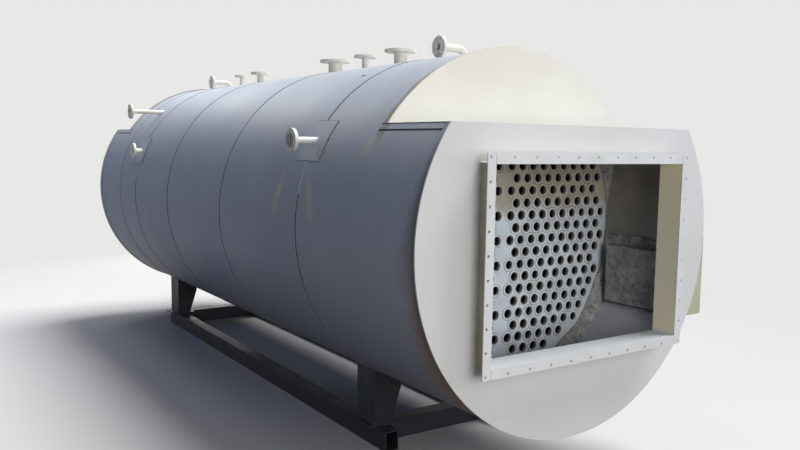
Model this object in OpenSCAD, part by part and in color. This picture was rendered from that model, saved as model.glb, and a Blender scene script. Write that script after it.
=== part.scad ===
// Horizontal fire-tube boiler: a round clad barrel between two smokeboxes with flat tops,
// each opening through a flanged rectangular duct, on four welded legs and a skid of box beams.
// Millimetres. +Y runs from the open front duct to the rear, +Z is up and the floor is z = 0.
// Inside in_place(), x = 0 and z = 0 are the boiler's axis and y = 0 is the front plate's face.

/* [Casing] */
// Outer radius of the sheet cladding
casing_r = 870; // [850:5:900]
// Thickness of the cladding sheets
sheet_t = 1.5; // [1:0.5:3]
// Length from the front plate's face to the rear plate's face
casing_l = 4885; // [4700:5:5200]
// Height of the casing's lowest point over the floor
belly_h = 293; // [270:1:480]
// How far the smokeboxes' flat top lies below the casing's crown
flat_top_drop = 363; // [350:1:370]
// Depth of the front smokebox's flat top
front_top_l = 446; // [430:2:470]
// Depth of the rear smokebox's flat top
rear_top_l = 395; // [385:5:440]
// Height of the fold of a flat top's edge down over the round sheets
fold_h = 27; // [15:1:40]
// Distance of the fold's end behind the end plate's face
fold_set = 45; // [10:5:80]
// Length of the fold past the flat top's depth, over the round sheets
fold_past = 60; // [10:5:90]
// Clearance between curved faces that touch
fit_gap = 0.3; // [0.2:0.1:0.5]

/* [Cladding sheets] */
// Rear edges of the first three cladding sheets, from the front plate
front_seams = [1039, 2042, 3030];
// Rear edges of the next two cladding sheets, from the rear plate
rear_seams = [1073, 625];
// Width of the lap bead at the front edge of a sheet
bead_w = 12; // [6:1:20]
// Height of the lap bead
bead_h = 2; // [1:0.5:3]

/* [End plates] */
// How far the end plates stand proud of the cladding
plate_proud = 10; // [5:1:25]
// Thickness of the end plates
plate_t = 8; // [6:1:12]

/* [Pressure shell] */
// Distance from the cladding's face in to the shell and the smokebox wrappers
lagging_t = 70; // [60:1:90]
// Thickness of the shell
shell_t = 14; // [10:1:18]
// Thickness of the smokebox wrappers and roofs
wrapper_t = 6; // [4:1:10]
// Thickness of the tube plates
tube_plate_t = 20; // [16:1:26]
// Distance from a smokebox's upper plate back to the tube plate's face
tube_plate_set = 56; // [50:1:80]

/* [Fire tubes] */
// Outer radius of a fire tube
tube_r = 25.5; // [22:0.5:27]
// Wall of a fire tube
tube_t = 3; // [2:0.5:5]
// Distance between neighbouring tubes in a row
tube_pitch = 71; // [66:1:80]
// Distance between the two middle columns of tubes
lane_w = 84; // [80:1:100]
// Distance of the top row of tubes below the smokebox roof
top_row_drop = 56.6; // [50:0.1:70]
// Distance of the outermost tubes' centres inside the shell's face
tube_field_in = 104; // [100:1:240]
// How far the tubes stand out of the tube plates
tube_out = 3; // [2:1:8]
// Radial clearance of a tube in its hole
tube_gap = 0.2; // [0.1:0.1:0.4]

/* [Castable] */
// Width of the castable ring before each tube plate
ring_w = 59; // [48:1:66]
// Depth of the castable ring
ring_l = 50; // [40:1:55]

/* [Ducts] */
// Distance of the duct flange's sides inside the end plate's rim
duct_side_in = 270.5; // [262:0.5:290]
// Distance of the duct flange's top edge below the flat top
duct_top_in = 119; // [110:1:140]
// Distance of the duct flange's bottom edge over the end plate's lowest point
duct_bottom_in = 370; // [360:1:400]
// Distance of the flange's face from the end plate's face
duct_out = 92; // [70:1:140]
// Depth of the collar inside the end plate's face
duct_in = 34; // [20:1:60]
// Leg of the angle flange
angle_leg = 43; // [35:1:50]
// Thickness of the angle flange and the collar's plate
angle_t = 5; // [4:0.5:6]
// Distance of the bolt holes from the flange's outer edge
duct_hole_edge = 15; // [13:1:20]
// Radius of a duct bolt hole
duct_hole_r = 6; // [4:0.5:8]
// Number of bolt holes along the top and bottom
duct_holes_x = 11; // [7:1:15]
// Number of bolt holes along each side
duct_holes_z = 10; // [6:1:12]

/* [Top nozzles] */
// How far the top nozzles' faces stand over the crown
top_stand = 90; // [80:5:180]
// Places of the three front top nozzles, from the front plate
front_nozzle_y = [1437, 1827, 2208];
// Places of the two rear top nozzles, from the rear plate
rear_nozzle_y = [1476, 1095];
// Nominal size of each top nozzle, as an index into the flange table below
top_nozzle_size = [4, 2, 5, 3, 0];

/* [Elbow nozzles] */
// Place of the front elbow nozzle, from the front plate
front_elbow_y = 990; // [960:5:1000]
// Place of the rear elbow nozzle, from the rear plate
rear_elbow_y = 565; // [540:5:600]
// How far the centre of the elbow nozzles' flanges stands over the crown
elbow_stand = 60; // [60:5:130]
// Distance of the elbow's flange face left of the axis
elbow_face_x = 62; // [40:1:100]
// Distance of the elbow's drop pipe right of the axis
elbow_drop_x = 116; // [90:2:160]
// Bend radius of the elbow
elbow_bend_r = 48; // [40:1:60]

/* [Side nozzles] */
// Place of the front side nozzle, from the front plate
side_front_y = 1030; // [1000:5:1100]
// How far the front side nozzle's face stands beyond the casing's side
side_front_stand = 30; // [30:5:110]
// Height of the front side nozzle over the axis
side_front_h = 428; // [400:2:450]
// Places of the two rear side nozzles, from the rear plate
side_rear_y = [871, 1040];
// Heights of the two rear side nozzles over the axis
side_rear_h = [643, 335];
// How far their faces stand beyond the casing's side, which the upper one doesn't reach
side_rear_stand = [-22, 8];
// Side of the square patch round a side nozzle
patch_w = 230; // [180:5:260]
// Height of the square patch
patch_h = 196; // [160:2:220]

/* [Flanges] */
// Thickness of the nozzle flanges
flange_t = 18; // [14:1:24]
// Height of the raised face
face_h = 2; // [1:0.5:3]
// Length of the flange's own bore, which is a little wider than the pipe's
neck_l = 38; // [30:1:45]
// Extra radius of the flange's own bore
neck_gap = 0.5; // [0.3:0.1:1]
// Size of the weld between pipe and flange
weld_w = 5; // [3:1:8]
// Clearance between a nozzle's pipe and the sheet or insulation round it
pipe_clear = 3; // [2:1:8]

/* [Cleanout] */
// Front edge of the cleanout box
clean_y = 12; // [10:1:40]
// Distance of the cleanout box's rear edge before the flat top's rear edge
clean_rear_in = 4; // [2:1:60]
// How far the cleanout cover's face stands beyond the casing's side
clean_stand = 30; // [30:5:110]
// Top of the cleanout box against the axis
clean_top = -25; // [-60:5:-20]
// Bottom of the cleanout box against the axis
clean_bottom = -415; // [-450:5:-400]
// Thickness of the cleanout box's plates
clean_t = 6; // [5:1:10]
// Thickness of the cleanout cover
clean_cover_t = 8; // [6:1:12]
// Margin between the box and the way through the wrapper
clean_margin = 80; // [60:5:90]
// How far the castable plug stands into the smokebox
plug_in = 19; // [10:1:25]

/* [Supports] */
// Front face of the front legs, from the front plate
front_leg_y = 972; // [940:2:1010]
// Front face of the rear legs, from the rear plate
rear_leg_y = 742; // [720:2:800]
// Depth of a leg along the boiler
leg_l = 184; // [150:2:210]
// Distance of a leg's outer face, and the beam's, inside the casing's side
leg_set = 435; // [400:5:450]
// Width of a leg at its foot
leg_foot_w = 103; // [90:1:120]
// Width of a leg at its top
leg_top_w = 163; // [130:1:180]
// Height over the casing's lowest point where a leg's taper ends
leg_taper_in = 15; // [5:1:30]
// Thickness of the leg plates
leg_t = 10; // [8:1:14]
// Thickness of a base plate
base_t = 12; // [10:1:20]
// Width of a base plate beyond the leg's outer and inner faces
base_lip = 38; // [20:1:50]
// Length of a base plate beyond the leg's front and rear faces
base_margin = 8; // [4:1:20]

/* [Skid] */
// Height of all beams
beam_h = 106; // [90:2:140]
// Width of the two long beams
beam_w = 80; // [60:2:100]
// Thickness of the beams' walls
beam_t = 6; // [4:0.5:8]
// Front end of the long beams, from the front plate
beam_front_y = 870; // [840:5:940]
// Rear end of the long beams, from the rear plate
beam_rear_y = 540; // [480:5:550]
// Width of the two cross beams
cross_w = 92; // [70:2:100]
// Distance of the front cross beam behind the front legs' front face
front_cross_set = 36; // [10:2:80]
// Distance of the rear cross beam behind the rear legs' front face
rear_cross_set = 100; // [10:2:100]

/* [Hidden] */
$fn = 96;

// Flange table: bore radius, pipe radius, flange radius, bolt circle radius, holes, hole radius
// and raised face radius of the sizes DN20, DN25, DN32, DN40, DN65 and DN80, and the elbows
FLANGES = [
    [11, 13.45, 52.5, 37.5, 4, 7, 29],
    [14, 16.85, 57.5, 42.5, 4, 7, 34],
    [18, 21.2, 70, 50, 4, 9, 39],
    [20.5, 24.15, 75, 55, 4, 9, 44],
    [34.5, 38.05, 92.5, 72.5, 8, 9, 61],
    [41, 44.45, 100, 80, 8, 9, 69],
    [18, 21.2, 57.5, 42.5, 4, 7, 34]
];
SIDE_SIZE = 1;
ELBOW_SIZE = 6;

// Radii of the plates and of the layers, from the wrapper out to the sheets
plate_r = casing_r + plate_proud;
shell_r = casing_r - lagging_t;
ring_r = shell_r - wrapper_t - ring_w;
sheet_in_r = casing_r - sheet_t;
wool_out_r = sheet_in_r - fit_gap;
wool_in_r = shell_r + fit_gap;
wool_t = wool_out_r - wool_in_r;
fold_in_r = casing_r + fit_gap;
patch_in_r = casing_r + bead_h + fit_gap;

// Heights of the layers of the flat tops, over the axis
flat_top_h = casing_r - flat_top_drop;
cover_under_h = flat_top_h - sheet_t;
roof_h = cover_under_h - wool_t;

// Planes along the boiler, from the front plate's face
front_plate_back = plate_t;
rear_plate_front = casing_l - plate_t;
front_tube_y = front_top_l + tube_plate_set;
rear_tube_y = casing_l - rear_top_l - tube_plate_set;
seams = [front_seams[0], front_seams[1], front_seams[2], casing_l - rear_seams[0], casing_l - rear_seams[1]];

// The duct flange's outer size, and the height of its centre, which lies below the axis
duct_w = 2 * (plate_r - duct_side_in);
duct_top_h = flat_top_h - duct_top_in;
duct_bottom_h = duct_bottom_in - plate_r;
duct_h = duct_top_h - duct_bottom_h;
duct_z = (duct_top_h + duct_bottom_h) / 2;

// Sizes of the duct's clear way and collar
duct_in_w = duct_w - 2 * angle_leg;
duct_in_h = duct_h - 2 * angle_leg;
collar_w = duct_in_w + 2 * angle_t;
collar_h = duct_in_h + 2 * angle_t;

// The tube field; its rows form equilateral triangles
row_pitch = tube_pitch * sqrt(3) / 2;
top_row_h = roof_h - top_row_drop;
tube_field_r = shell_r - tube_field_in;
tube_rows = floor((top_row_h + tube_field_r) / row_pitch) + 1;

// Places of the nozzles' faces and of their pipes
top_face_h = casing_r + top_stand;
top_nozzle_y = [
    front_nozzle_y[0], front_nozzle_y[1], front_nozzle_y[2],
    casing_l - rear_nozzle_y[0], casing_l - rear_nozzle_y[1]
];
elbow_h = casing_r + elbow_stand;
elbow_y = [front_elbow_y, casing_l - rear_elbow_y];
upper_side_y = casing_l - side_rear_y[0];
lower_side_y = casing_l - side_rear_y[1];

// Faces of the cleanout, from the axis out to its cover
clean_l = front_top_l - clean_rear_in - clean_y;
clean_in_x = shell_r / 2;
clean_face_x = casing_r + clean_stand;
cover_in_x = clean_face_x - clean_cover_t;

// Height of the axis over the floor, and the supports' and the skid's levels against the axis
axis_h = casing_r + belly_h;
floor_z = -axis_h;
beam_top_z = floor_z + beam_h;
base_top_z = beam_top_z + base_t;
leg_taper_z = leg_taper_in - casing_r;

// Places of the legs and the long beams
leg_y = [front_leg_y, casing_l - rear_leg_y];
leg_out = casing_r - leg_set;
beam_in = leg_out - beam_w;

// Moves the boiler's own coordinates to the part's frame
module in_place() {
    translate([0, -casing_l / 2, axis_h]) children();
}

// Turns the front end's shapes round for the rear end
module at_rear() {
    translate([0, casing_l, 0]) mirror([0, 1, 0]) children();
}

// Extrudes a shape drawn in x and z along the boiler, from y0 to y1
module along(y0, y1) {
    translate([0, y1, 0]) rotate([90, 0, 0]) linear_extrude(y1 - y0) children();
}

// The half plane under height h, wide enough for every disc here
module below(h) {
    translate([-2 * plate_r, h - 4 * plate_r]) square([4 * plate_r, 4 * plate_r]);
}

// The half plane over height h
module above(h) {
    translate([-2 * plate_r, h]) square([4 * plate_r, 4 * plate_r]);
}

// A disc of radius r whose top is cut flat at height h
module capped_disc(r, h) {
    intersection() {
        circle(r);
        below(h);
    }
}

// The part of a disc over height h
module disc_top(r, h) {
    intersection() {
        circle(r);
        above(h);
    }
}

// A ring between two radii
module ring(outer, inner) {
    difference() {
        circle(outer);
        circle(inner);
    }
}

// A rectangle centred on the duct
module duct_rect(w, h) {
    translate([-w / 2, duct_z - h / 2]) square([w, h]);
}

// Half of the tube field's width at a row's height decides how many tubes the row has
function row_z(n) = top_row_h - n * row_pitch;
function row_start(n) = lane_w / 2 + (n % 2 == 0 ? tube_pitch / 2 : 0);
function row_reach(n) = sqrt(max(0, pow(tube_field_r, 2) - pow(row_z(n), 2)));
function row_count(n) = floor((row_reach(n) - row_start(n)) / tube_pitch) + 1;

// Puts a shape at the centre of every fire tube
module at_tubes() {
    for (n = [0:tube_rows - 1], j = [0:1:row_count(n) - 1], side = [-1, 1]) {
        translate([side * (row_start(n) + j * tube_pitch), row_z(n)]) children();
    }
}

// A pipe with a flange, its face at z = 0 and its pipe running down
module flanged_pipe(size, reach) {
    f = FLANGES[size];
    difference() {
        union() {
            translate([0, 0, -face_h]) cylinder(r = f[6], h = face_h);
            translate([0, 0, -flange_t]) cylinder(r = f[2], h = flange_t - face_h);
            translate([0, 0, -flange_t - weld_w]) cylinder(r1 = f[1], r2 = f[1] + weld_w, h = weld_w);
            translate([0, 0, -reach]) cylinder(r = f[1], h = reach - flange_t);
        }
        translate([0, 0, -neck_l]) cylinder(r = f[0] + neck_gap, h = neck_l + 1);
        translate([0, 0, -reach - 1]) cylinder(r = f[0], h = reach + 1);
        for (i = [0:f[4] - 1]) {
            rotate([0, 0, (i + 0.5) * 360 / f[4]])
                translate([f[3], 0, -flange_t - 1]) cylinder(r = f[5], h = flange_t + 2);
        }
    }
}

// The space inside the shell's outer face, which every pipe ends on
module shell_space() {
    along(-duct_out, casing_l + duct_out) circle(shell_r + fit_gap);
}

// Places one of the top nozzles
module at_top_nozzle(i) {
    translate([0, top_nozzle_y[i], top_face_h]) children();
}

// Places a side nozzle whose face lies at distance x on the left
module at_side(x, y, h) {
    translate([-x, y, h]) rotate([0, -90, 0]) children();
}

// A straight drill of radius r down into the top, at x and y
module top_drill(r, x, y) {
    translate([x, y, shell_r / 2]) cylinder(r = r, h = plate_r);
}

// A straight drill of radius r in from the left to the middle, at y and height h
module side_drill(r, y, h) {
    translate([-2 * plate_r, y, h]) rotate([0, 90, 0]) cylinder(r = r, h = 2 * plate_r);
}

// Drills every nozzle's way; extra widens the pipes' outer radius, and bores drill the bore alone
module nozzle_drills(extra, bores = false) {
    column = bores ? 0 : 1;
    for (i = [0:len(top_nozzle_y) - 1]) {
        top_drill(FLANGES[top_nozzle_size[i]][column] + extra, 0, top_nozzle_y[i]);
    }
    for (y = elbow_y) {
        top_drill(FLANGES[ELBOW_SIZE][column] + extra, elbow_drop_x, y);
    }
    side_drill(FLANGES[SIDE_SIZE][column] + extra, side_front_y, side_front_h);
    side_drill(FLANGES[SIDE_SIZE][column] + extra, upper_side_y, side_rear_h[0]);
    side_drill(FLANGES[SIDE_SIZE][column] + extra, lower_side_y, side_rear_h[1]);
}

// Outline of a left leg in x and z, grown by m, from its foot to the boiler's axis
module leg_outline(m) {
    polygon([
        [-leg_out - m, base_top_z],
        [-leg_out - m, 0],
        [leg_top_w - leg_out + m, 0],
        [leg_top_w - leg_out + m, leg_taper_z],
        [leg_foot_w - leg_out + m, base_top_z]
    ]);
}

// Cuts where the four legs pass through the sheets and the insulation
module leg_cuts() {
    for (y = leg_y, side = [0, 1]) {
        mirror([side, 0, 0])
            along(y - fit_gap, y + leg_l + fit_gap) leg_outline(fit_gap);
    }
}

// The cleanout's outline along the boiler: y from y0 to y1, z from z0 to z1, x from x0 to x1
module clean_block(m, x0, x1) {
    translate([x0, clean_y + m, clean_bottom + m])
        cube([x1 - x0, clean_l - 2 * m, clean_top - clean_bottom - 2 * m]);
}

// The way through the wrapper at the cleanout
module clean_way(m) {
    translate([clean_in_x, clean_y + clean_margin + m, clean_bottom + clean_t + m])
        cube([
            cover_in_x - clean_in_x,
            clean_l - clean_margin - clean_t - 2 * m,
            clean_top - clean_bottom - clean_margin - clean_t - 2 * m
        ]);
}

// The pressure shell between the tube plates, drilled at the nozzles
module pressure_shell() {
    color("dimgray") in_place() difference() {
        along(front_tube_y + tube_plate_t, rear_tube_y - tube_plate_t) ring(shell_r, shell_r - shell_t);
        nozzle_drills(0, true);
    }
}

// A tube plate from y0 to y1 with a hole for every tube
module tube_plate(y0, y1) {
    color("sienna") in_place() along(y0, y1) difference() {
        circle(shell_r);
        at_tubes() circle(tube_r + tube_gap);
    }
}

module front_tube_plate() {
    tube_plate(front_tube_y, front_tube_y + tube_plate_t);
}

module rear_tube_plate() {
    tube_plate(rear_tube_y - tube_plate_t, rear_tube_y);
}

// The fire tubes, standing a little out of both tube plates
module fire_tubes() {
    color("peru") in_place()
        along(front_tube_y - tube_out, rear_tube_y + tube_out) at_tubes() ring(tube_r, tube_r - tube_t);
}

// A smokebox's round wrapper, from its end plate to the tube plate at depth l
module smokebox_wrapper(l) {
    along(plate_t, l) intersection() {
        ring(shell_r, shell_r - wrapper_t);
        below(roof_h - wrapper_t);
    }
}

module front_smokebox_wrapper() {
    color("slategray") in_place() difference() {
        smokebox_wrapper(front_tube_y);
        clean_way(-fit_gap);
    }
}

module rear_smokebox_wrapper() {
    color("slategray") in_place() at_rear() smokebox_wrapper(casing_l - rear_tube_y);
}

// A smokebox's flat roof, resting on the wrapper's two edges
module smokebox_roof(l) {
    along(plate_t, l) intersection() {
        circle(shell_r);
        above(roof_h - wrapper_t);
        below(roof_h);
    }
}

module front_smokebox_roof() {
    color("slategray") in_place() smokebox_roof(front_tube_y);
}

module rear_smokebox_roof() {
    color("slategray") in_place() at_rear() smokebox_roof(casing_l - rear_tube_y);
}

// The castable ring against a tube plate at depth l
module castable_ring(l) {
    along(l - ring_l, l) intersection() {
        ring(shell_r - wrapper_t - fit_gap, ring_r);
        below(roof_h - wrapper_t);
    }
}

module front_castable_ring() {
    color("tan") in_place() castable_ring(front_tube_y);
}

module rear_castable_ring() {
    color("tan") in_place() at_rear() castable_ring(casing_l - rear_tube_y);
}

// An end plate with its flat top and the duct's way through it
module end_plate() {
    along(0, plate_t) difference() {
        capped_disc(plate_r, flat_top_h);
        duct_rect(collar_w + 2 * fit_gap, collar_h + 2 * fit_gap);
    }
}

module front_plate() {
    color("beige") in_place() end_plate();
}

module rear_plate() {
    color("beige") in_place() at_rear() end_plate();
}

// The plate over the flat top at depth l, which closes the barrel's insulation; below the flat
// top it stays inside the round sheets
module upper_plate(l) {
    along(l, l + plate_t) {
        disc_top(plate_r, flat_top_h);
        disc_top(wool_out_r, roof_h);
    }
}

module front_upper_plate() {
    color("beige") in_place() upper_plate(front_top_l);
}

module rear_upper_plate() {
    color("beige") in_place() at_rear() upper_plate(rear_top_l);
}

// The rectangular collar through an end plate
module duct_collar() {
    along(-duct_out + angle_t, duct_in) difference() {
        duct_rect(collar_w, collar_h);
        duct_rect(duct_in_w, duct_in_h);
    }
}

module front_duct_collar() {
    color("wheat") in_place() duct_collar();
}

module rear_duct_collar() {
    color("wheat") in_place() at_rear() duct_collar();
}

// The duct's bolt holes, evenly spaced along its four sides with one in each corner
module duct_holes() {
    span_x = duct_w - 2 * duct_hole_edge;
    span_z = duct_h - 2 * duct_hole_edge;
    step_x = span_x / (duct_holes_x - 1);
    step_z = span_z / (duct_holes_z - 1);
    for (i = [0:duct_holes_x - 1], side = [-1, 1]) {
        translate([-span_x / 2 + i * step_x, duct_z + side * span_z / 2]) circle(duct_hole_r);
    }
    for (i = [1:duct_holes_z - 2], side = [-1, 1]) {
        translate([side * span_x / 2, duct_z - span_z / 2 + i * step_z]) circle(duct_hole_r);
    }
}

// The angle flange: a drilled face leg and a leg that lies along the collar
module duct_flange() {
    along(-duct_out, -duct_out + angle_t) difference() {
        duct_rect(duct_w, duct_h);
        duct_rect(duct_in_w, duct_in_h);
        duct_holes();
    }
    along(-duct_out + angle_t, -duct_out + angle_leg) difference() {
        duct_rect(collar_w + 2 * angle_t, collar_h + 2 * angle_t);
        duct_rect(collar_w, collar_h);
    }
}

module front_duct_flange() {
    color("ivory") in_place() duct_flange();
}

module rear_duct_flange() {
    color("ivory") in_place() at_rear() duct_flange();
}

// The wool round the pressure shell
module barrel_insulation() {
    color("khaki") in_place() difference() {
        along(front_tube_y, rear_tube_y) ring(wool_out_r, wool_in_r);
        nozzle_drills(pipe_clear);
        leg_cuts();
    }
}

// The wool round and over a smokebox whose flat top is l deep
module smokebox_insulation(l) {
    along(plate_t, l + tube_plate_set) difference() {
        capped_disc(wool_out_r, cover_under_h);
        capped_disc(wool_in_r, roof_h);
    }
    along(l + plate_t, l + tube_plate_set) disc_top(wool_out_r, roof_h);
}

module front_insulation() {
    color("khaki") in_place() difference() {
        smokebox_insulation(front_top_l);
        upper_plate(front_top_l);
        clean_block(-fit_gap, clean_in_x, clean_face_x);
    }
}

module rear_insulation() {
    color("khaki") in_place() difference() {
        at_rear() smokebox_insulation(rear_top_l);
        at_rear() upper_plate(rear_top_l);
    }
}

// Cuts a round sheet away over the flat top that is l deep
module flat_top_cut(l) {
    along(-plate_t, l + plate_t) above(cover_under_h);
}

// A round sheet from y0 to y1, with a lap bead over its front edge if it has one
module sheet(y0, y1, bead = true) {
    along(y0, y1) ring(casing_r, sheet_in_r);
    if (bead) {
        along(y0, y0 + bead_w) ring(casing_r + bead_h, sheet_in_r);
    }
}

// The sheets' colour and the cuts that any of them may need
module cladding(y0, y1, bead = true) {
    color("silver") in_place() difference() {
        sheet(y0, y1, bead);
        nozzle_drills(pipe_clear);
        leg_cuts();
        clean_block(-fit_gap, clean_in_x, clean_face_x);
        flat_top_cut(front_top_l);
        at_rear() flat_top_cut(rear_top_l);
    }
}

module cladding_sheet_1() {
    cladding(front_plate_back, seams[0], false);
}

module cladding_sheet_2() {
    cladding(seams[0], seams[1]);
}

module cladding_sheet_3() {
    cladding(seams[1], seams[2]);
}

module cladding_sheet_4() {
    cladding(seams[2], seams[3]);
}

module cladding_sheet_5() {
    cladding(seams[3], seams[4]);
}

module cladding_sheet_6() {
    cladding(seams[4], rear_plate_front);
}

// A flat top's cover, with its two edges folded down over the round sheets
module flat_cover(l) {
    along(plate_t, l) intersection() {
        circle(fold_in_r + sheet_t);
        above(cover_under_h);
        below(flat_top_h);
    }
    along(fold_set, l + fold_past) intersection() {
        ring(fold_in_r + sheet_t, fold_in_r);
        above(flat_top_h - fold_h);
        below(flat_top_h);
    }
}

module front_flat_cover() {
    color("lightgray") in_place() flat_cover(front_top_l);
}

module rear_flat_cover() {
    color("lightgray") in_place() at_rear() flat_cover(rear_top_l);
}

// One of the five upright nozzles on the crown
module top_nozzle(i) {
    color("lightsteelblue") in_place() difference() {
        at_top_nozzle(i) flanged_pipe(top_nozzle_size[i], top_face_h);
        shell_space();
    }
}

module top_nozzle_1() {
    top_nozzle(0);
}

module top_nozzle_2() {
    top_nozzle(1);
}

module top_nozzle_3() {
    top_nozzle(2);
}

module top_nozzle_4() {
    top_nozzle(3);
}

module top_nozzle_5() {
    top_nozzle(4);
}

// A nozzle that faces left, bends down and enters the crown at y
module elbow_nozzle(y) {
    f = FLANGES[ELBOW_SIZE];
    run = elbow_face_x + elbow_drop_x - elbow_bend_r;
    color("lightsteelblue") in_place() difference() {
        union() {
            at_side(elbow_face_x, y, elbow_h) flanged_pipe(ELBOW_SIZE, run);
            translate([elbow_drop_x - elbow_bend_r, y, elbow_h - elbow_bend_r])
                rotate([90, 0, 0]) rotate_extrude(angle = 90)
                    translate([elbow_bend_r, 0]) ring(f[1], f[0]);
            translate([elbow_drop_x, y, 0]) linear_extrude(elbow_h - elbow_bend_r) ring(f[1], f[0]);
        }
        shell_space();
    }
}

module front_elbow_nozzle() {
    elbow_nozzle(elbow_y[0]);
}

module rear_elbow_nozzle() {
    elbow_nozzle(elbow_y[1]);
}

// A straight nozzle that faces left
module side_nozzle(x, y, h) {
    color("lightsteelblue") in_place() difference() {
        at_side(x, y, h) flanged_pipe(SIDE_SIZE, x);
        shell_space();
    }
}

module front_side_nozzle() {
    side_nozzle(casing_r + side_front_stand, side_front_y, side_front_h);
}

module rear_side_nozzle_upper() {
    side_nozzle(casing_r + side_rear_stand[0], upper_side_y, side_rear_h[0]);
}

module rear_side_nozzle_lower() {
    side_nozzle(casing_r + side_rear_stand[1], lower_side_y, side_rear_h[1]);
}

// A curved patch of sheet round the side nozzle at y and height h
module patch(y, h) {
    difference() {
        intersection() {
            along(y - patch_w / 2, y + patch_w / 2)
                ring(patch_in_r + sheet_t, patch_in_r);
            translate([-plate_r, y - patch_w / 2, h - patch_h / 2]) cube([plate_r, patch_w, patch_h]);
        }
        side_drill(FLANGES[SIDE_SIZE][1] + pipe_clear, y, h);
    }
}

module nozzle_patches() {
    color("gainsboro") in_place() {
        patch(side_front_y, side_front_h);
        patch(lower_side_y, side_rear_h[1]);
    }
}

// The cleanout's plate box, from the wrapper out to the cover
module cleanout_box() {
    color("beige") in_place() difference() {
        clean_block(0, clean_in_x, cover_in_x);
        clean_block(clean_t, clean_in_x - 1, clean_face_x);
        shell_space();
    }
}

// The flat cover over the cleanout
module cleanout_cover() {
    color("beige") in_place() clean_block(0, cover_in_x, clean_face_x);
}

// The castable that fills the cleanout box and shows inside the smokebox
module cleanout_plug() {
    color("tan") in_place() {
        difference() {
            clean_block(clean_t + fit_gap, clean_in_x, cover_in_x);
            shell_space();
        }
        difference() {
            intersection() {
                clean_way(0);
                along(0, front_tube_y) circle(shell_r + 2 * fit_gap);
            }
            along(0, front_tube_y) circle(shell_r - wrapper_t - plug_in);
        }
    }
}

// A left leg with its base plate, its front face at y
module leg(y) {
    difference() {
        along(y, y + leg_l) leg_outline(0);
        along(y + leg_t, y + leg_l - leg_t) leg_outline(-leg_t);
        shell_space();
    }
    translate([-leg_out - base_lip, y - base_margin, beam_top_z])
        cube([leg_foot_w + 2 * base_lip, leg_l + 2 * base_margin, base_t]);
}

module front_left_leg() {
    color("darkslategray") in_place() leg(leg_y[0]);
}

module front_right_leg() {
    color("darkslategray") in_place() mirror([1, 0, 0]) leg(leg_y[0]);
}

module rear_left_leg() {
    color("darkslategray") in_place() leg(leg_y[1]);
}

module rear_right_leg() {
    color("darkslategray") in_place() mirror([1, 0, 0]) leg(leg_y[1]);
}

// The left box beam, open at both ends
module beam() {
    along(beam_front_y, casing_l - beam_rear_y) difference() {
        translate([-leg_out, floor_z]) square([beam_w, beam_h]);
        translate([beam_t - leg_out, floor_z + beam_t]) square([beam_w - 2 * beam_t, beam_h - 2 * beam_t]);
    }
}

module left_beam() {
    color("darkslategray") in_place() beam();
}

module right_beam() {
    color("darkslategray") in_place() mirror([1, 0, 0]) beam();
}

// A box beam across, between the long beams, its front face at y
module cross_beam(y) {
    difference() {
        translate([-beam_in, y, floor_z]) cube([2 * beam_in, cross_w, beam_h]);
        translate([-beam_in - 1, y + beam_t, floor_z + beam_t])
            cube([2 * beam_in + 2, cross_w - 2 * beam_t, beam_h - 2 * beam_t]);
    }
}

module front_cross_beam() {
    color("darkslategray") in_place() cross_beam(leg_y[0] + front_cross_set);
}

module rear_cross_beam() {
    color("darkslategray") in_place() cross_beam(leg_y[1] + rear_cross_set);
}

pressure_shell();
front_tube_plate();
rear_tube_plate();
fire_tubes();
front_smokebox_wrapper();
rear_smokebox_wrapper();
front_smokebox_roof();
rear_smokebox_roof();
front_castable_ring();
rear_castable_ring();
front_plate();
rear_plate();
front_upper_plate();
rear_upper_plate();
front_duct_collar();
rear_duct_collar();
front_duct_flange();
rear_duct_flange();
barrel_insulation();
front_insulation();
rear_insulation();
cladding_sheet_1();
cladding_sheet_2();
cladding_sheet_3();
cladding_sheet_4();
cladding_sheet_5();
cladding_sheet_6();
front_flat_cover();
rear_flat_cover();
top_nozzle_1();
top_nozzle_2();
top_nozzle_3();
top_nozzle_4();
top_nozzle_5();
front_elbow_nozzle();
rear_elbow_nozzle();
front_side_nozzle();
rear_side_nozzle_upper();
rear_side_nozzle_lower();
nozzle_patches();
cleanout_box();
cleanout_cover();
cleanout_plug();
front_left_leg();
front_right_leg();
rear_left_leg();
rear_right_leg();
left_beam();
right_beam();
front_cross_beam();
rear_cross_beam();
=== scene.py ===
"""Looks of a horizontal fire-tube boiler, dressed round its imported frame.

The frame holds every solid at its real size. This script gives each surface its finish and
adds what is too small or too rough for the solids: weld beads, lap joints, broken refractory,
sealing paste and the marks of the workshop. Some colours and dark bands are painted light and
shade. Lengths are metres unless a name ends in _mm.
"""
from __future__ import annotations

import logging
import math
from dataclasses import dataclass
from enum import Enum
from functools import cached_property
from typing import Any, Iterable, Sequence

import bpy
from bpy.types import Material, Mesh, Node, NodeSocket, NodeTree, Object
from mathutils import Matrix, Vector, noise


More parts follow.
